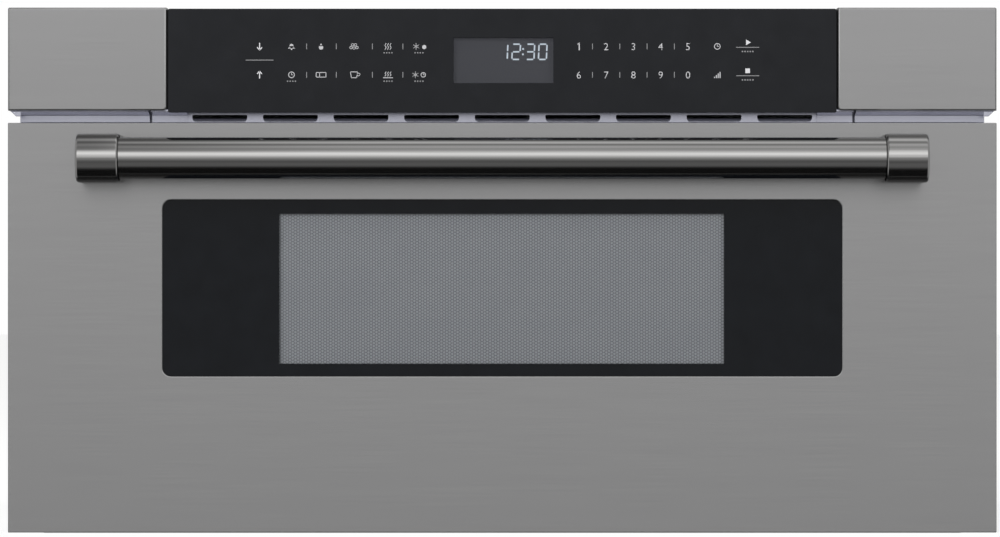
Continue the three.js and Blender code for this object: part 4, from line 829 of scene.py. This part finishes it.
CAP_LOW, CAP_HIGH = corners("right_end_cap")
CONTROL_LOW, CONTROL_HIGH = corners("control_glass")
STRIP_LOW, STRIP_HIGH = corners("right_vent_strip")
CAP_LIP, CAP_CORNER, CAP_FOLD = 5, 3, 1.3
CAP_REACH, PANE_TRIM, PANE_DROP = 1.2, 1.3, 0.8
PANE_CORNER, PANE_EDGE = 1.5, 0.5
STRIP_WALL_Y = -20


def end_cap():
    """The right cap, folded back to the flange above and outside, and to a short lip inside and below."""
    low, high = CAP_LOW - CAP_REACH * X, CAP_HIGH
    cap = open_tray("right_cap", low, high, Y)
    pick_faces(lambda at, way: way.z < -0.9 or way.x < -0.9)
    delete_faces()
    pick_edges(lambda at, way: near(at.y, low.y) and (near(at.x, low.x) or near(at.z, low.z)))
    pull(y=CAP_LIP)
    round_edges(CAP_CORNER, 5, lambda at, way: along(way, Y) and near(at.x, low.x) and near(at.z, low.z))

    def at_fold(at, way):
        return near(at.y, low.y) or (along(way, Y) and near(at.z, high.z) and near(at.x, high.x))

    round_edges(CAP_FOLD, 4, at_fold)
    only(cap)
    thicken(cap, SHEET)
    return cap


def control_pane():
    low, high = CONTROL_LOW + PANE_TRIM * X - PANE_DROP * Z, CONTROL_HIGH - PANE_TRIM * X
    pane = rounded_block("control_pane", low, high, PANE_CORNER, Y, 4)
    soften(pane, PANE_EDGE, 3)
    smooth_and_fit(pane, "control_glass", "chassis", "control_glass")


fit_pair(end_cap(), "left_cap", "brushed_steel", "chassis", "right_end_cap", "left_end_cap")
control_pane()

# The print on the glass, in millimetres: x from the panel's middle, z up.
INK_DEPTH = 0.06
ROW_UP, ROW_DOWN = 375.2, 353.4
SUB_DROP = 4.9
DIGIT_X, DIGIT_PITCH, DIGIT_HEIGHT = 58.8, 20.95, 5.8
OPEN_X, RULE_Z = -186.3, 364.7
KEY_XS = (-161.8, -139.1, -113.8, -87.7, -63.9)
KEY_BARS = (-150.2, -127.4, -99.7, -76.3)
BAR_HEIGHT, BAR_WIDTH = 4.4, 0.55
TIME_X, START_X = 165.1, 188.4
ARROW_SIZE, OPEN_RULE_HALF, START_RULE_HALF, START_RULE_DROP, START_SIGN_RISE = 2.8, 10.7, 8.8, 0.7, 3.1
KEY_DOT, KEY_DOT_XS = 0.55, (-3, -1, 1, 3)
START_DOT, START_DOT_XS, START_DOT_DROP = 0.6, (-4, -2, 0, 2, 4), 3.2
DOTTED_KEYS = ((3, ROW_UP), (4, ROW_UP), (0, ROW_DOWN), (3, ROW_DOWN), (4, ROW_DOWN))
SIGN_SIZE, STROKE = 2.5, 0.55
CAPITAL_HEIGHT, FACE_THINNING = 0.73, 0.04


def ink_disc(x, z, radius, sides=24, turn=0, y=None):
    """A flat disc or polygon that faces the front."""
    only(None)
    bpy.ops.mesh.primitive_circle_add(
        vertices=sides, radius=radius * MM, fill_type="NGON",
        location=(x * MM, (y or CONTROL_LOW.y) * MM, z * MM),
        rotation=(math.radians(90), math.radians(turn), 0),
    )
    return settled("ink")


def ink_ring(x, z, radius, width=STROKE, sides=24, turn=0):
    ring = ink_disc(x, z, radius, sides, turn)
    edit_all(ring)
    inset(width)
    delete_faces()
    only(ring)
    return ring


def ink_bar(x0, z0, x1, z1, width=STROKE, y=None):
    """A straight stroke from one point to another."""
    only(None)
    bpy.ops.mesh.primitive_plane_add(
        size=MM, location=((x0 + x1) / 2 * MM, (y or CONTROL_LOW.y) * MM, (z0 + z1) / 2 * MM),
        rotation=(math.radians(90), -math.atan2(z1 - z0, x1 - x0), 0),
    )
    bpy.context.object.scale = (math.hypot(x1 - x0, z1 - z0), width, 1)
    return settled("ink")


def ink_text(text, x, z, height):
    """A digit in a plain sans face, centred on its place."""
    only(None)
    bpy.ops.object.text_add(location=(0, 0, 0))
    letter = bpy.context.object
    letter.data.body = text
    letter.data.align_x = "CENTER"
    letter.data.size = height * MM / CAPITAL_HEIGHT
    letter.data.offset = -FACE_THINNING * MM
    letter.data.resolution_u = 3
    bpy.ops.object.convert(target="MESH")
    letter = bpy.context.object
    letter.rotation_euler = (math.radians(90), 0, 0)
    letter.location = (x * MM, CONTROL_LOW.y * MM, (z - height / 2) * MM)
    return settled("ink")


def arrow(x, z, size, up):
    way = 1 if up else -1
    tip = z + way * size
    return [
        ink_bar(x, z - way * size, x, tip - way * 0.2, 0.8),
        ink_bar(x - size * 0.65, tip - way * size * 0.75, x, tip, 0.8),
        ink_bar(x + size * 0.65, tip - way * size * 0.75, x, tip, 0.8),
    ]


def polar(radius, angles):
    """Points round the origin, at angles in degrees."""
    return [(radius * math.cos(a), radius * math.sin(a)) for a in map(math.radians, angles)]


def snowflake(x, z, size):
    rays = [ink_bar(x - dx, z - dz, x + dx, z + dz, 0.45) for dx, dz in polar(size, (90, 30, 150))]
    tips = polar(size * 0.7, range(30, 390, 60))
    return rays + [ink_disc(x + dx, z + dz, 0.42, 6) for dx, dz in tips]


def clock_face(x, z, size):
    hands = ((0, size * 0.65), (size * 0.5, 0))
    return [ink_ring(x, z, size), *(ink_bar(x, z, x + dx, z + dz, 0.45) for dx, dz in hands)]


def silent_bell(x, z, size):
    rim = z - size * 0.55
    return [
        ink_disc(x, z + size * 0.15, size * 0.62), ink_bar(x, z + size * 0.1, x, rim, size * 1.24),
        ink_bar(x - size, rim, x + size, rim, 0.6), ink_disc(x, rim - size * 0.3, size * 0.25, 12),
    ]


def drop(x, z, size):
    return [ink_disc(x, z - size * 0.3, size * 0.68), ink_disc(x, z + size * 0.35, size * 0.62, 3)]


def kernels(x, z, size):
    spots = ((-1.15, -0.35), (0, -0.5), (1.15, -0.35), (-0.55, 0.5), (0.55, 0.5))
    return [ink_ring(x + dx * size * 0.8, z + dz * size, size * 0.46, 0.4, 16) for dx, dz in spots]


def waves(x, z, size):
    ink = []
    for dx in (-1.9, 0, 1.9):
        for i, bend in enumerate((0.5, -0.5, 0.5)):
            low = z - size + i * size * 2 / 3
            ink.append(ink_bar(x + dx - bend, low, x + dx + bend, low + size * 2 / 3, 0.5))
    return ink


def outline(x, z, sides):
    return [ink_bar(x + a, z + b, x + c, z + d) for a, b, c, d in sides]


def butter(x, z, size):
    w, h = size * 1.5, size * 0.7
    sides = ((-w, -h, w, -h), (-w, h, w, h), (-w, -h, -w, h), (w, -h, w, h), (-w * 0.3, -h, -w * 0.3, h))
    return outline(x, z, sides)


def cup(x, z, size):
    w, h = size * 1.1, size * 0.9
    sides = ((-w, h, -w * 0.75, -h), (w, h, w * 0.75, -h), (-w * 0.75, -h, w * 0.75, -h), (-w, h, w, h))
    handle = ink_ring(x + w * 1.3, z + h * 0.1, size * 0.5, 0.45, 16)
    return [handle, *outline(x, z, sides)]


def steaming_dish(x, z, size):
    plate = ink_bar(x - size * 1.5, z - size * 0.9, x + size * 1.5, z - size * 0.9, 0.6)
    return [plate, *waves(x, z + size * 0.25, size * 0.7)]


def weight(x, z, size):
    return [*snowflake(x - size * 0.9, z, size), ink_disc(x + size * 1.6, z - size * 0.2, size * 0.7, 6)]


def frozen_time(x, z, size):
    return [*snowflake(x - size * 1.1, z, size), *clock_face(x + size * 1.3, z, size * 0.8)]


def level_bars(x, z, size):
    steps = (-1.5, -0.5, 0.5, 1.5)
    low = z - size
    return [ink_bar(x + i * 1.4, low, x + i * 1.4, low + (i + 2.3) * size * 0.5, 0.8) for i in steps]


def printed(name, ink, slot, finish):
    """Strokes of ink as one piece, slightly raised."""
    layer = joined(name, ink)
    modify(layer, "SOLIDIFY", thickness=INK_DEPTH * MM, offset=1)
    fit(layer, slot, "chassis", finish=finish)


def key_legends():
    """The digits, plain signs and rules of the keys."""
    digits, signs, rules = [], [], []
    for row, figures in ((ROW_UP, "12345"), (ROW_DOWN, "67890")):
        for i, figure in enumerate(figures):
            x, half = DIGIT_X + i * DIGIT_PITCH, DIGIT_HEIGHT / 2
            if figure == "1":
                digits.append(ink_bar(x + 0.3, row - half, x + 0.3, row + half, 0.8))
                digits.append(ink_bar(x - 1.0, row + half - 1.3, x + 0.3, row + half - 0.3, 0.7))
            else:
                digits.append(ink_text(figure, x, row, DIGIT_HEIGHT))
        key_bars = [DIGIT_X + (i + 0.5) * DIGIT_PITCH for i in range(4)]
        for x in (*key_bars, *KEY_BARS):
            rules.append(ink_bar(x, row - BAR_HEIGHT / 2, x, row + BAR_HEIGHT / 2, BAR_WIDTH))
    bold = arrow(OPEN_X, ROW_UP, ARROW_SIZE, False) + arrow(OPEN_X, ROW_DOWN, ARROW_SIZE, True)
    rules.append(ink_bar(OPEN_X - OPEN_RULE_HALF, RULE_Z, OPEN_X + OPEN_RULE_HALF, RULE_Z, BAR_WIDTH))
    upper = (silent_bell, drop, kernels, waves, weight)
    lower = (clock_face, butter, cup, steaming_dish, frozen_time)
    for row, row_signs in ((ROW_UP, upper), (ROW_DOWN, lower)):
        for x, sign in zip(KEY_XS, row_signs):
            signs += sign(x, row, SIGN_SIZE)
    for key, row in DOTTED_KEYS:
        rules += [ink_disc(KEY_XS[key] + dx, row - SUB_DROP, KEY_DOT, 12) for dx in KEY_DOT_XS]
    signs += clock_face(TIME_X, ROW_UP, SIGN_SIZE) + level_bars(TIME_X, ROW_DOWN, SIGN_SIZE)
    for row, sides, turn in ((ROW_UP, 3, 90), (ROW_DOWN, 4, 45)):
        bold.append(ink_disc(START_X, row + START_SIGN_RISE, SIGN_SIZE, sides, turn))
        rule = row - START_RULE_DROP
        rules.append(ink_bar(START_X - START_RULE_HALF, rule, START_X + START_RULE_HALF, rule, BAR_WIDTH))
        rules += [ink_disc(START_X + dx, rule - START_DOT_DROP, START_DOT, 12) for dx in START_DOT_XS]
    layers = (
        ("key_digits", digits, 0.46), ("key_signs", signs, 0.42), ("key_bold", bold, 0.55),
        ("key_rules", rules, 0.22),
    )
    for name, ink, level in layers:
        printed(name, ink, "white_plastic", screen_print(name, level))


SEGMENTS = {
    "a": ((0.1, 1), (0.9, 1)), "b": ((1, 0.95), (1, 0.55)), "c": ((1, 0.45), (1, 0.05)),
    "d": ((0.1, 0), (0.9, 0)), "e": ((0, 0.45), (0, 0.05)), "f": ((0, 0.95), (0, 0.55)),
    "g": ((0.1, 0.5), (0.9, 0.5)),
}
CLOCK_DIGITS = ((-2.3, "bc"), (7.4, "abged"), (18.3, "abgcd"), (27.8, "abcdef"))
CLOCK_COLON_X, COLON_ZS = 15.7, (369.3, 373.4)
CLOCK_BOTTOM, CLOCK_HEIGHT, CLOCK_WIDTH, CLOCK_SLANT = 365.4, 11.7, 6.1, 0.045
SEGMENT_WIDTH, COLON_DOT, LIT_DEPTH = 1.1, 0.75, 0.15


def clock():
    """The display's face and its lit seven-segment digits, 12:30."""
    rim = Vector((DISPLAY_RIM, 0, DISPLAY_RIM))
    face = rounded_block("display_face", DISPLAY_LOW - rim, DISPLAY_HIGH + rim, 0.8, Y, 3)
    edit(face)
    pick_faces(lambda at, way: way.y < -0.9)
    inset(DISPLAY_BORDER, -DISPLAY_RECESS)
    smooth_and_fit(face, "display", "chassis", "display_module")
    lit = []
    front = DISPLAY_LOW.y + LIT_DEPTH
    for left, segments in CLOCK_DIGITS:
        for segment in segments:
            ends = []
            for u, v in SEGMENTS[segment]:
                rise = v * CLOCK_HEIGHT
                ends += [left + u * CLOCK_WIDTH + rise * CLOCK_SLANT, CLOCK_BOTTOM + rise]
            lit.append(ink_bar(*ends, SEGMENT_WIDTH, front))
    for z in COLON_ZS:
        x = CLOCK_COLON_X + (z - CLOCK_BOTTOM) * CLOCK_SLANT
        lit.append(ink_disc(x, z, COLON_DOT, 16, y=front))
    printed("clock_digits", lit, "display", display_light())


key_legends()
clock()


# ---------------------------------------------------------------- vent strip

STRIP_SHEET = 1.6
SEAM, STRIP_EDGE, GRILLE_EDGE = 0.7, 0.35, 0.25
LEDGE_RISE, LEDGE_SLOPE = 4.5, 2.3
WALL_SETBACK, MITRE = 3, 2.8
END_PLATE_INSET, END_PLATE_SHEET, END_PLATE_OVERLAP = 0.4, 1, 2
END_PLATE_REACH, END_PLATE_SLANT, END_PLATE_DROP = 3.3, 4.5, 1.3
GRILLE_LOW, GRILLE_HIGH = corners("vent_grille")
VENT_SLOTS, SLOT_PITCH = 9, 54.5
SLOT_WIDTH, SLOT_HEIGHT, SLOT_RISE = 42.2, 5.4, 0.5
SLOT_UPPER_RADIUS, SLOT_LOWER_RADIUS = 0.8, 3.6
LIP_RISE, LIP_RADIUS, LIP_DEPTH, LIP_GAP = 3.4, 3.1, 6, 0.2
VENT_FIELD, GRILLE_SHEET = 242.5, 0.6
STRIP_DROP = 1.1
STRIP_BOTTOM = STRIP_LOW.z - STRIP_DROP
LEDGE_BACK_Z = STRIP_LOW.z + LEDGE_RISE


def ledge(name, x0, x1):
    """A length of the strip: a ledge that falls to the back, a wall below, and a flange to the frame."""
    wall_back = STRIP_WALL_Y + STRIP_SHEET
    piece = block(name, (x0, STRIP_WALL_Y, STRIP_BOTTOM), (x1, wall_back, LEDGE_BACK_Z))
    edit(piece)
    flange_z = STRIP_HIGH.z - STRIP_SHEET
    for rise in (flange_z - LEDGE_BACK_Z, STRIP_SHEET):
        pick_faces(lambda at, way: way.z > 0.9)
        pull(z=rise)
    pick_faces(lambda at, way: way.y < -0.9 and at.z > LEDGE_BACK_Z)
    pull(y=STRIP_LOW.y - STRIP_WALL_Y)
    pick_faces(lambda at, way: way.y > 0.9 and at.z > flange_z)
    pull(y=STRIP_HIGH.y - wall_back)
    pick_edges(lambda at, way: along(way, X) and near(at.y, STRIP_LOW.y) and near(at.z, LEDGE_BACK_Z))
    shift(z=LEDGE_SLOPE)
    only(piece)
    return piece


def strip_ends():
    """The plain lengths beside the vent. At their outer ends a slanted plate closes the ledge in front."""
    right = ledge("right_strip", STRIP_LOW.x + SEAM, STRIP_HIGH.x)
    corner = block(
        "corner", (STRIP_HIGH.x - WALL_SETBACK, STRIP_WALL_Y - 1, STRIP_BOTTOM - 1),
        (STRIP_HIGH.x + 1, STRIP_WALL_Y + STRIP_SHEET + 1, LEDGE_BACK_Z),
    )
    cut_out(right, corner)
    edit(right)
    pick_edges(lambda at, way: near(at.y, STRIP_LOW.y) and at.x > STRIP_HIGH.x - 1)
    shift(x=MITRE)
    only(right)
    plate_y = STRIP_LOW.y + END_PLATE_INSET
    plate_top = LEDGE_BACK_Z + LEDGE_SLOPE + STRIP_SHEET / 2
    plate = block(
        "plate", (STRIP_HIGH.x - WALL_SETBACK - END_PLATE_OVERLAP, plate_y, LEDGE_BACK_Z - END_PLATE_DROP),
        (STRIP_HIGH.x + END_PLATE_REACH, plate_y + END_PLATE_SHEET, plate_top),
    )
    edit(plate)
    pick_edges(lambda at, way: along(way, Y) and at.x > STRIP_HIGH.x and at.z < LEDGE_BACK_Z)
    shift(x=-END_PLATE_SLANT)
    right = joined("right_strip", [right, plate])
    soften(right, STRIP_EDGE, 2)
    fit_pair(right, "left_strip", "painted_sheet", "chassis", "right_vent_strip", "left_vent_strip")


def slotted_wall():
    """The wall between the ends, with its slots, round at their lower corners."""
    wall_back = STRIP_WALL_Y + STRIP_SHEET
    wall_top = GRILLE_HIGH.z - GRILLE_SHEET
    wall = block("wall", (-VENT_FIELD, STRIP_WALL_Y, STRIP_BOTTOM), (VENT_FIELD, wall_back, wall_top))
    cutters = []
    bottom, top = STRIP_BOTTOM + SLOT_RISE, STRIP_BOTTOM + SLOT_RISE + SLOT_HEIGHT
    for i in range(VENT_SLOTS):
        x = (i - (VENT_SLOTS - 1) / 2) * SLOT_PITCH
        slot = block(
            "slot", (x - SLOT_WIDTH / 2, STRIP_WALL_Y - THROUGH, bottom),
            (x + SLOT_WIDTH / 2, wall_back + THROUGH, top),
        )
        edit(slot)
        round_edges(SLOT_LOWER_RADIUS, 6, lambda at, way: along(way, Y) and at.z < bottom + 1)
        round_edges(SLOT_UPPER_RADIUS, 3, lambda at, way: along(way, Y) and near(at.z, top))
        only(slot)
        cutters.append(slot)
    cut_out(wall, joined("slots", cutters))
    return wall


def louvre():
    """The slots' lower lip, rolled from upright in front to level at its back."""
    lip = block(
        "lip", (-VENT_FIELD, STRIP_WALL_Y + LIP_GAP, STRIP_BOTTOM),
        (VENT_FIELD, STRIP_WALL_Y + LIP_DEPTH, STRIP_BOTTOM + LIP_RISE),
    )
    edit(lip)

    def upper_front(at, way):
        return along(way, X) and at.y < STRIP_WALL_Y + 1 and at.z > STRIP_BOTTOM + 1

    round_edges(LIP_RADIUS, 8, upper_front)
    only(lip)
    return lip


def vent_grille():
    """The slotted wall with the louvre behind it, and the ledges at its ends."""
    right_end = ledge("grille_end", VENT_FIELD, GRILLE_HIGH.x)
    left_end = ledge("grille_start", GRILLE_LOW.x, -VENT_FIELD)
    top = block("grille_top", (GRILLE_LOW.x, STRIP_LOW.y, GRILLE_HIGH.z - GRILLE_SHEET), GRILLE_HIGH)
    grille = joined("vent_louvre", [slotted_wall(), right_end, left_end, top, louvre()])
    soften(grille, GRILLE_EDGE, 2, 50)
    smooth_and_fit(grille, "painted_sheet", "chassis", "vent_grille")


strip_ends()
vent_grille()


# ---------------------------------------------------------------- drawer tub and tray

TUB_RIM, TUB_RIM_FOLD = 4, 3.2
TUB_WALL, TUB_CORNER, TUB_EDGE = 1.5, 14, 0.5
TRAY_CORNER, TRAY_EDGE, TRAY_BORDER, TRAY_SHOULDER, TRAY_FIELD_DEPTH = 12, 0.8, 9, 3, 1.2


def drawer_tub():
    """Deep-drawn: rounded below and behind, with a rim turned out and down, open to the door in front."""
    low, high = corners("drawer_tub")
    body_low = Vector((low.x + TUB_RIM, low.y, low.z))
    body_high = Vector((high.x - TUB_RIM, high.y - TUB_RIM, high.z))
    tub = open_tray("tub", body_low, body_high, Z)
    pick_faces(lambda at, way: way.y < -0.9)
    delete_faces()
    round_edges(TUB_CORNER, 8, lambda at, way: not near(at.z, high.z) and not near(at.y, low.y))
    pick_edges(lambda at, way: near(at.z, high.z) and not near(at.y, low.y))
    pull()
    width = body_high.x - body_low.x
    depth = body_high.y - body_low.y
    bpy.ops.transform.resize(
        value=(1 + 2 * TUB_RIM / width, 1 + TUB_RIM / depth, 1),
        center_override=(0, low.y * MM, high.z * MM),
    )
    pull(z=-TUB_RIM_FOLD)
    only(tub)
    thicken(tub, TUB_WALL)
    soften(tub, TUB_EDGE, 2, 50)
    smooth_and_fit(tub, "enamel", "drawer", "drawer_tub")


def ceramic_tray():
    """A flat plate with rounded corners and a shallow field inside its border."""
    low, high = corners("ceramic_tray")
    tray = rounded_block("floor_tray", low, high, TRAY_CORNER, Z, 8)
    edit(tray)
    pick_faces(lambda at, way: way.z > 0.9)
    inset(TRAY_BORDER)
    inset(TRAY_SHOULDER, -TRAY_FIELD_DEPTH)
    only(tray)
    soften(tray, TRAY_EDGE, 3, 50)
    smooth_and_fit(tray, "ceramic", "drawer", "ceramic_tray")


drawer_tub()
ceramic_tray()


# ---------------------------------------------------------------- case

TOP_HIGH, REAR_HIGH = corners("top_cover")[1], corners("rear_panel")[1]
SIDE_LOW, SIDE_HIGH = corners("right_side_panel")
HEAD_RADIUS, HEAD_RISE, HEAD_DOME = 3.6, 2.2, 1.3
CROSS_LENGTH, CROSS_WIDTH, CROSS_DEPTH = 3.8, 0.9, 1.1
EDGE_INSET = 8
TOP_SCREW_YS, TOP_BACK_SCREW_XS = (60, 225, 390, 555), (-170, 0, 170)
REAR_SCREW_XS, REAR_EDGE_SCREW_X, REAR_EDGE_SCREW_ZS = (-340, -170, 0, 170, 340), 345, (135, 255)
SIDE_SCREW_YS = (60, 290, 520)
BEAD_WIDTH, BEAD_RISE, BEAD_SINK = 16, 1.5, 1
TOP_BEAD_XS, TOP_BEAD_YS = (-200, 0, 200), (90, 480)
REAR_BEADS = ((300, -280, 200), (130, -180, 200))
SIDE_BEADS = ((90, 80, 500), (230, 80, 400))
TO_THE_BACK, TO_THE_RIGHT, TO_THE_LEFT = (-90, "X"), (90, "Y"), (-90, "Y")


def screw_head():
    """A pan head with a cross recess, standing up from the origin."""
    head = rod("head", HEAD_RADIUS, (0, 0, -0.2), (0, 0, HEAD_RISE), 24)
    edit(head)
    round_edges(HEAD_DOME, 3, lambda at, way: near(at.z, HEAD_RISE))
    only(head)
    half, width, floor = CROSS_LENGTH / 2, CROSS_WIDTH / 2, HEAD_RISE - CROSS_DEPTH
    for x, y in ((half, width), (width, half)):
        cut_out(head, block("slot", (-x, -y, floor), (x, y, HEAD_RISE + 1)))
    return head


def set_on(piece, name, places, turn=None):
    """Copies of a piece, turned to face a side of the case and set at each place."""
    copies = []
    for place in places:
        twin = copied(piece, name)
        if turn:
            turned(twin, *turn, (0, 0, 0))
        copies.append(moved(twin, *place))
    return copies


def case_screws():
    """The screws that hold the case's sheets together."""
    head = screw_head()
    low, high = SIDE_LOW.z + EDGE_INSET, SIDE_HIGH.z - EDGE_INSET
    edge_x = TOP_HIGH.x - EDGE_INSET
    back_y = TOP_HIGH.y - EDGE_INSET
    on_top = [(x, y, TOP_HIGH.z) for x in (-edge_x, edge_x) for y in TOP_SCREW_YS]
    on_top += [(x, back_y, TOP_HIGH.z) for x in TOP_BACK_SCREW_XS]
    on_rear = [(x, REAR_HIGH.y, z) for x in REAR_SCREW_XS for z in (low, high)]
    on_rear += [(side * REAR_EDGE_SCREW_X, REAR_HIGH.y, z) for side in (-1, 1) for z in REAR_EDGE_SCREW_ZS]
    on_right = [(SIDE_HIGH.x, y, z) for y in SIDE_SCREW_YS for z in (low, high)]
    on_left = [(-x, y, z) for x, y, z in on_right]
    sets = (
        ("top_screws", on_top, None), ("rear_screws", on_rear, TO_THE_BACK),
        ("right_side_screws", on_right, TO_THE_RIGHT), ("left_side_screws", on_left, TO_THE_LEFT),
    )
    for name, places, turn in sets:
        group = joined(name, set_on(head, name, places, turn))
        smooth_and_fit(group, "slide_steel", "chassis")
    bpy.data.objects.remove(head)


def bead(low, high, axis):
    """A stiffening bead pressed out of a sheet: long, with round ends and soft shoulders."""
    piece = rounded_block("bead", low, high, BEAD_WIDTH / 2 - 0.05, axis, 8)
    soften(piece, BEAD_RISE * 0.9, 3, 60)
    return piece


def case_beads():
    """Beads on the case's top, back and sides."""
    half, rise, sink = BEAD_WIDTH / 2, BEAD_RISE, BEAD_SINK
    top, rear, side = TOP_HIGH.z, REAR_HIGH.y, SIDE_HIGH.x
    start, end = TOP_BEAD_YS
    on_top = [bead((x - half, start, top - sink), (x + half, end, top + rise), Z) for x in TOP_BEAD_XS]
    on_rear = [
        bead((x0, rear - sink, z - half), (x1, rear + rise, z + half), Y) for z, x0, x1 in REAR_BEADS
    ]
    on_right = [
        bead((side - sink, y0, z - half), (side + rise, y1, z + half), X) for z, y0, y1 in SIDE_BEADS
    ]
    for name, beads in (("top_beads", on_top), ("rear_beads", on_rear), ("right_side_beads", on_right)):
        group = joined(name, beads)
        smooth_and_fit(group, "galvanised_sheet", "chassis")
    smooth_and_fit(mirrored(group, "left_side_beads"), "galvanised_sheet", "chassis")


case_screws()
case_beads()


# ---------------------------------------------------------------- stage

CAMERA_PLACE, LENS, SENSOR = (-0.00173, -4.0, 0.2047), 185.65, 36
FLOOR_SIZE, FLOOR_GREY, FLOOR_GLOW, FLOOR_MIRRORED = 12, 0.8, 0.45, 0.3


def camera():
    eye = bpy.data.cameras.new("camera")
    eye.lens = LENS
    eye.sensor_width = SENSOR
    holder = bpy.data.objects.new("camera", eye)
    holder.location = CAMERA_PLACE
    holder.rotation_euler = (math.radians(90), 0, 0)
    bpy.context.scene.collection.objects.link(holder)
    bpy.context.scene.camera = holder


def floor():
    """A pale table that ends under the front, as a worktop does under a built-in appliance."""
    only(None)
    bpy.ops.mesh.primitive_plane_add(size=FLOOR_SIZE, location=(0, FLOOR_SIZE / 2, 0))
    ground = settled("floor")
    pale = Finish("pale_floor", roughness=0.9, base_color=with_alpha(FLOOR_GREY))
    path = pale.node("LightPath").outputs
    seen = pale.math("MAXIMUM", path["Is Camera Ray"], path["Is Transmission Ray"])
    glow = pale.node("Emission", {"Strength": pale.math("MULTIPLY", seen, FLOOR_GLOW)})
    lit = pale.node("AddShader", {0: pale.surface.outputs["BSDF"], 1: glow.outputs["Emission"]})
    dim = pale.node("Emission", {"Strength": FLOOR_MIRRORED})
    ways = {0: path["Is Glossy Ray"], 1: lit.outputs["Shader"], 2: dim.outputs["Emission"]}
    shown = pale.node("MixShader", ways).outputs["Shader"]
    pale.links.new(shown, pale.nodes["Material Output"].inputs["Surface"])
    ground.data.materials.append(pale.material)


# What metal and glass see round the object's long axis: degrees up from the front's horizon
# over the top to the back, and a level. A dark floor in front, a broad soft box above the
# camera, narrower ones overhead that stop short of the left end, and the backdrop behind.
# What two pieces of metal show each other is dimmer, as in the narrow gap behind a handle.
STUDIO = (
    (-180, 0.6), (-150, 0.6), (-122, 0.2), (-95, 0.006), (-65, 0.006), (-58, 0.014), (-52, 0.05),
    (-46, 0.11), (-40, 0.135), (-29, 0.13), (-20, 0.10), (-12, 0.17), (-6, 0.27), (0, 0.39), (5, 0.56),
    (10, 0.78), (16, 1.0), (22, 1.17), (28, 0.95), (34, 0.76), (39, 0.53), (51, 0.37), (57, 0.43),
    (64, 0.56), (70, 0.44), (78, 0.25), (84, 0.29), (91, 0.63), (100, 0.61), (109, 0.24), (122, 0.12),
    (145, 0.6),
)
LEFT_END, LEFT_LEVEL, OVERHEAD = (-0.085, -0.02), 0.5, (28, 40)
INSIDE_CORNER_LEVEL = 0.55
PLAIN_LEVEL = 0.6
SIDE_LEVEL, SIDE_START, SIDE_FULL = 0.34, 0.3, 0.75


def place_of(degrees):
    """Where a pitch lies on the studio's ramp, which runs once round from the back."""
    return (degrees + 180) / 360


def world():
    """Plain light for what is matt, soft boxes for metal and glass, and white behind the object."""
    sky = bpy.data.worlds.new("studio")
    bpy.context.scene.world = sky
    tree = Tree(sky)
    tree.nodes.clear()
    way = tree.node("SeparateXYZ", {"Vector": tree.node("TexCoord").outputs["Generated"]}).outputs
    pitch = tree.math("ARCTAN2", way["Z"], tree.math("MULTIPLY", way["Y"], -1))
    place = tree.math("ADD", tree.math("DIVIDE", pitch, 2 * math.pi), 0.5)
    soft_boxes = tree.ramp(place, *((place_of(degrees), level) for degrees, level in STUDIO))
    past_left_end = tree.math("SUBTRACT", 1, tree.rise(way["X"], *LEFT_END, "SMOOTHSTEP"))
    overhead = tree.rise(place, *map(place_of, OVERHEAD), "SMOOTHSTEP")
    missing = tree.math("MULTIPLY", tree.math("MULTIPLY", past_left_end, overhead), 1 - LEFT_LEVEL)
    aside = tree.rise(tree.math("ABSOLUTE", way["X"]), SIDE_START, SIDE_FULL, "SMOOTHSTEP")
    studio = tree.mix(aside, tree.mix(missing, soft_boxes, 0.0), SIDE_LEVEL)
    path = tree.node("LightPath").outputs
    second_bounce = tree.math("GREATER_THAN", path["Glossy Depth"], 1.5)
    studio = tree.mix(tree.math("MULTIPLY", second_bounce, 1 - INSIDE_CORNER_LEVEL), studio, 0.0)
    mirrored_ray = tree.math("MAXIMUM", path["Is Glossy Ray"], path["Is Transmission Ray"])
    seen = tree.mix(mirrored_ray, PLAIN_LEVEL, studio)
    shown = tree.mix(path["Is Camera Ray"], seen, 1.0)
    background = tree.node("Background", {"Color": shown})
    tree.node("OutputWorld", {"Surface": background.outputs["Background"]})


def lamp(name, place, aim, size, power):
    light = bpy.data.lights.new(name, "AREA")
    light.shape = "SQUARE"
    light.size = size
    light.energy = power
    holder = bpy.data.objects.new(name, light)
    holder.location = place
    holder.rotation_euler = (Vector(aim) - Vector(place)).to_track_quat("-Z", "Y").to_euler()
    holder.visible_glossy = False
    bpy.context.scene.collection.objects.link(holder)


camera()
floor()
world()
lamp("key_lamp", (-1.5, -2.7, 1.35), (0, 0, 0.2), 1.6, 75)
lamp("fill_lamp", (1.8, -2.3, 1.1), (0, 0, 0.2), 1.4, 35)
bpy.context.scene.view_settings.view_transform = "Standard"
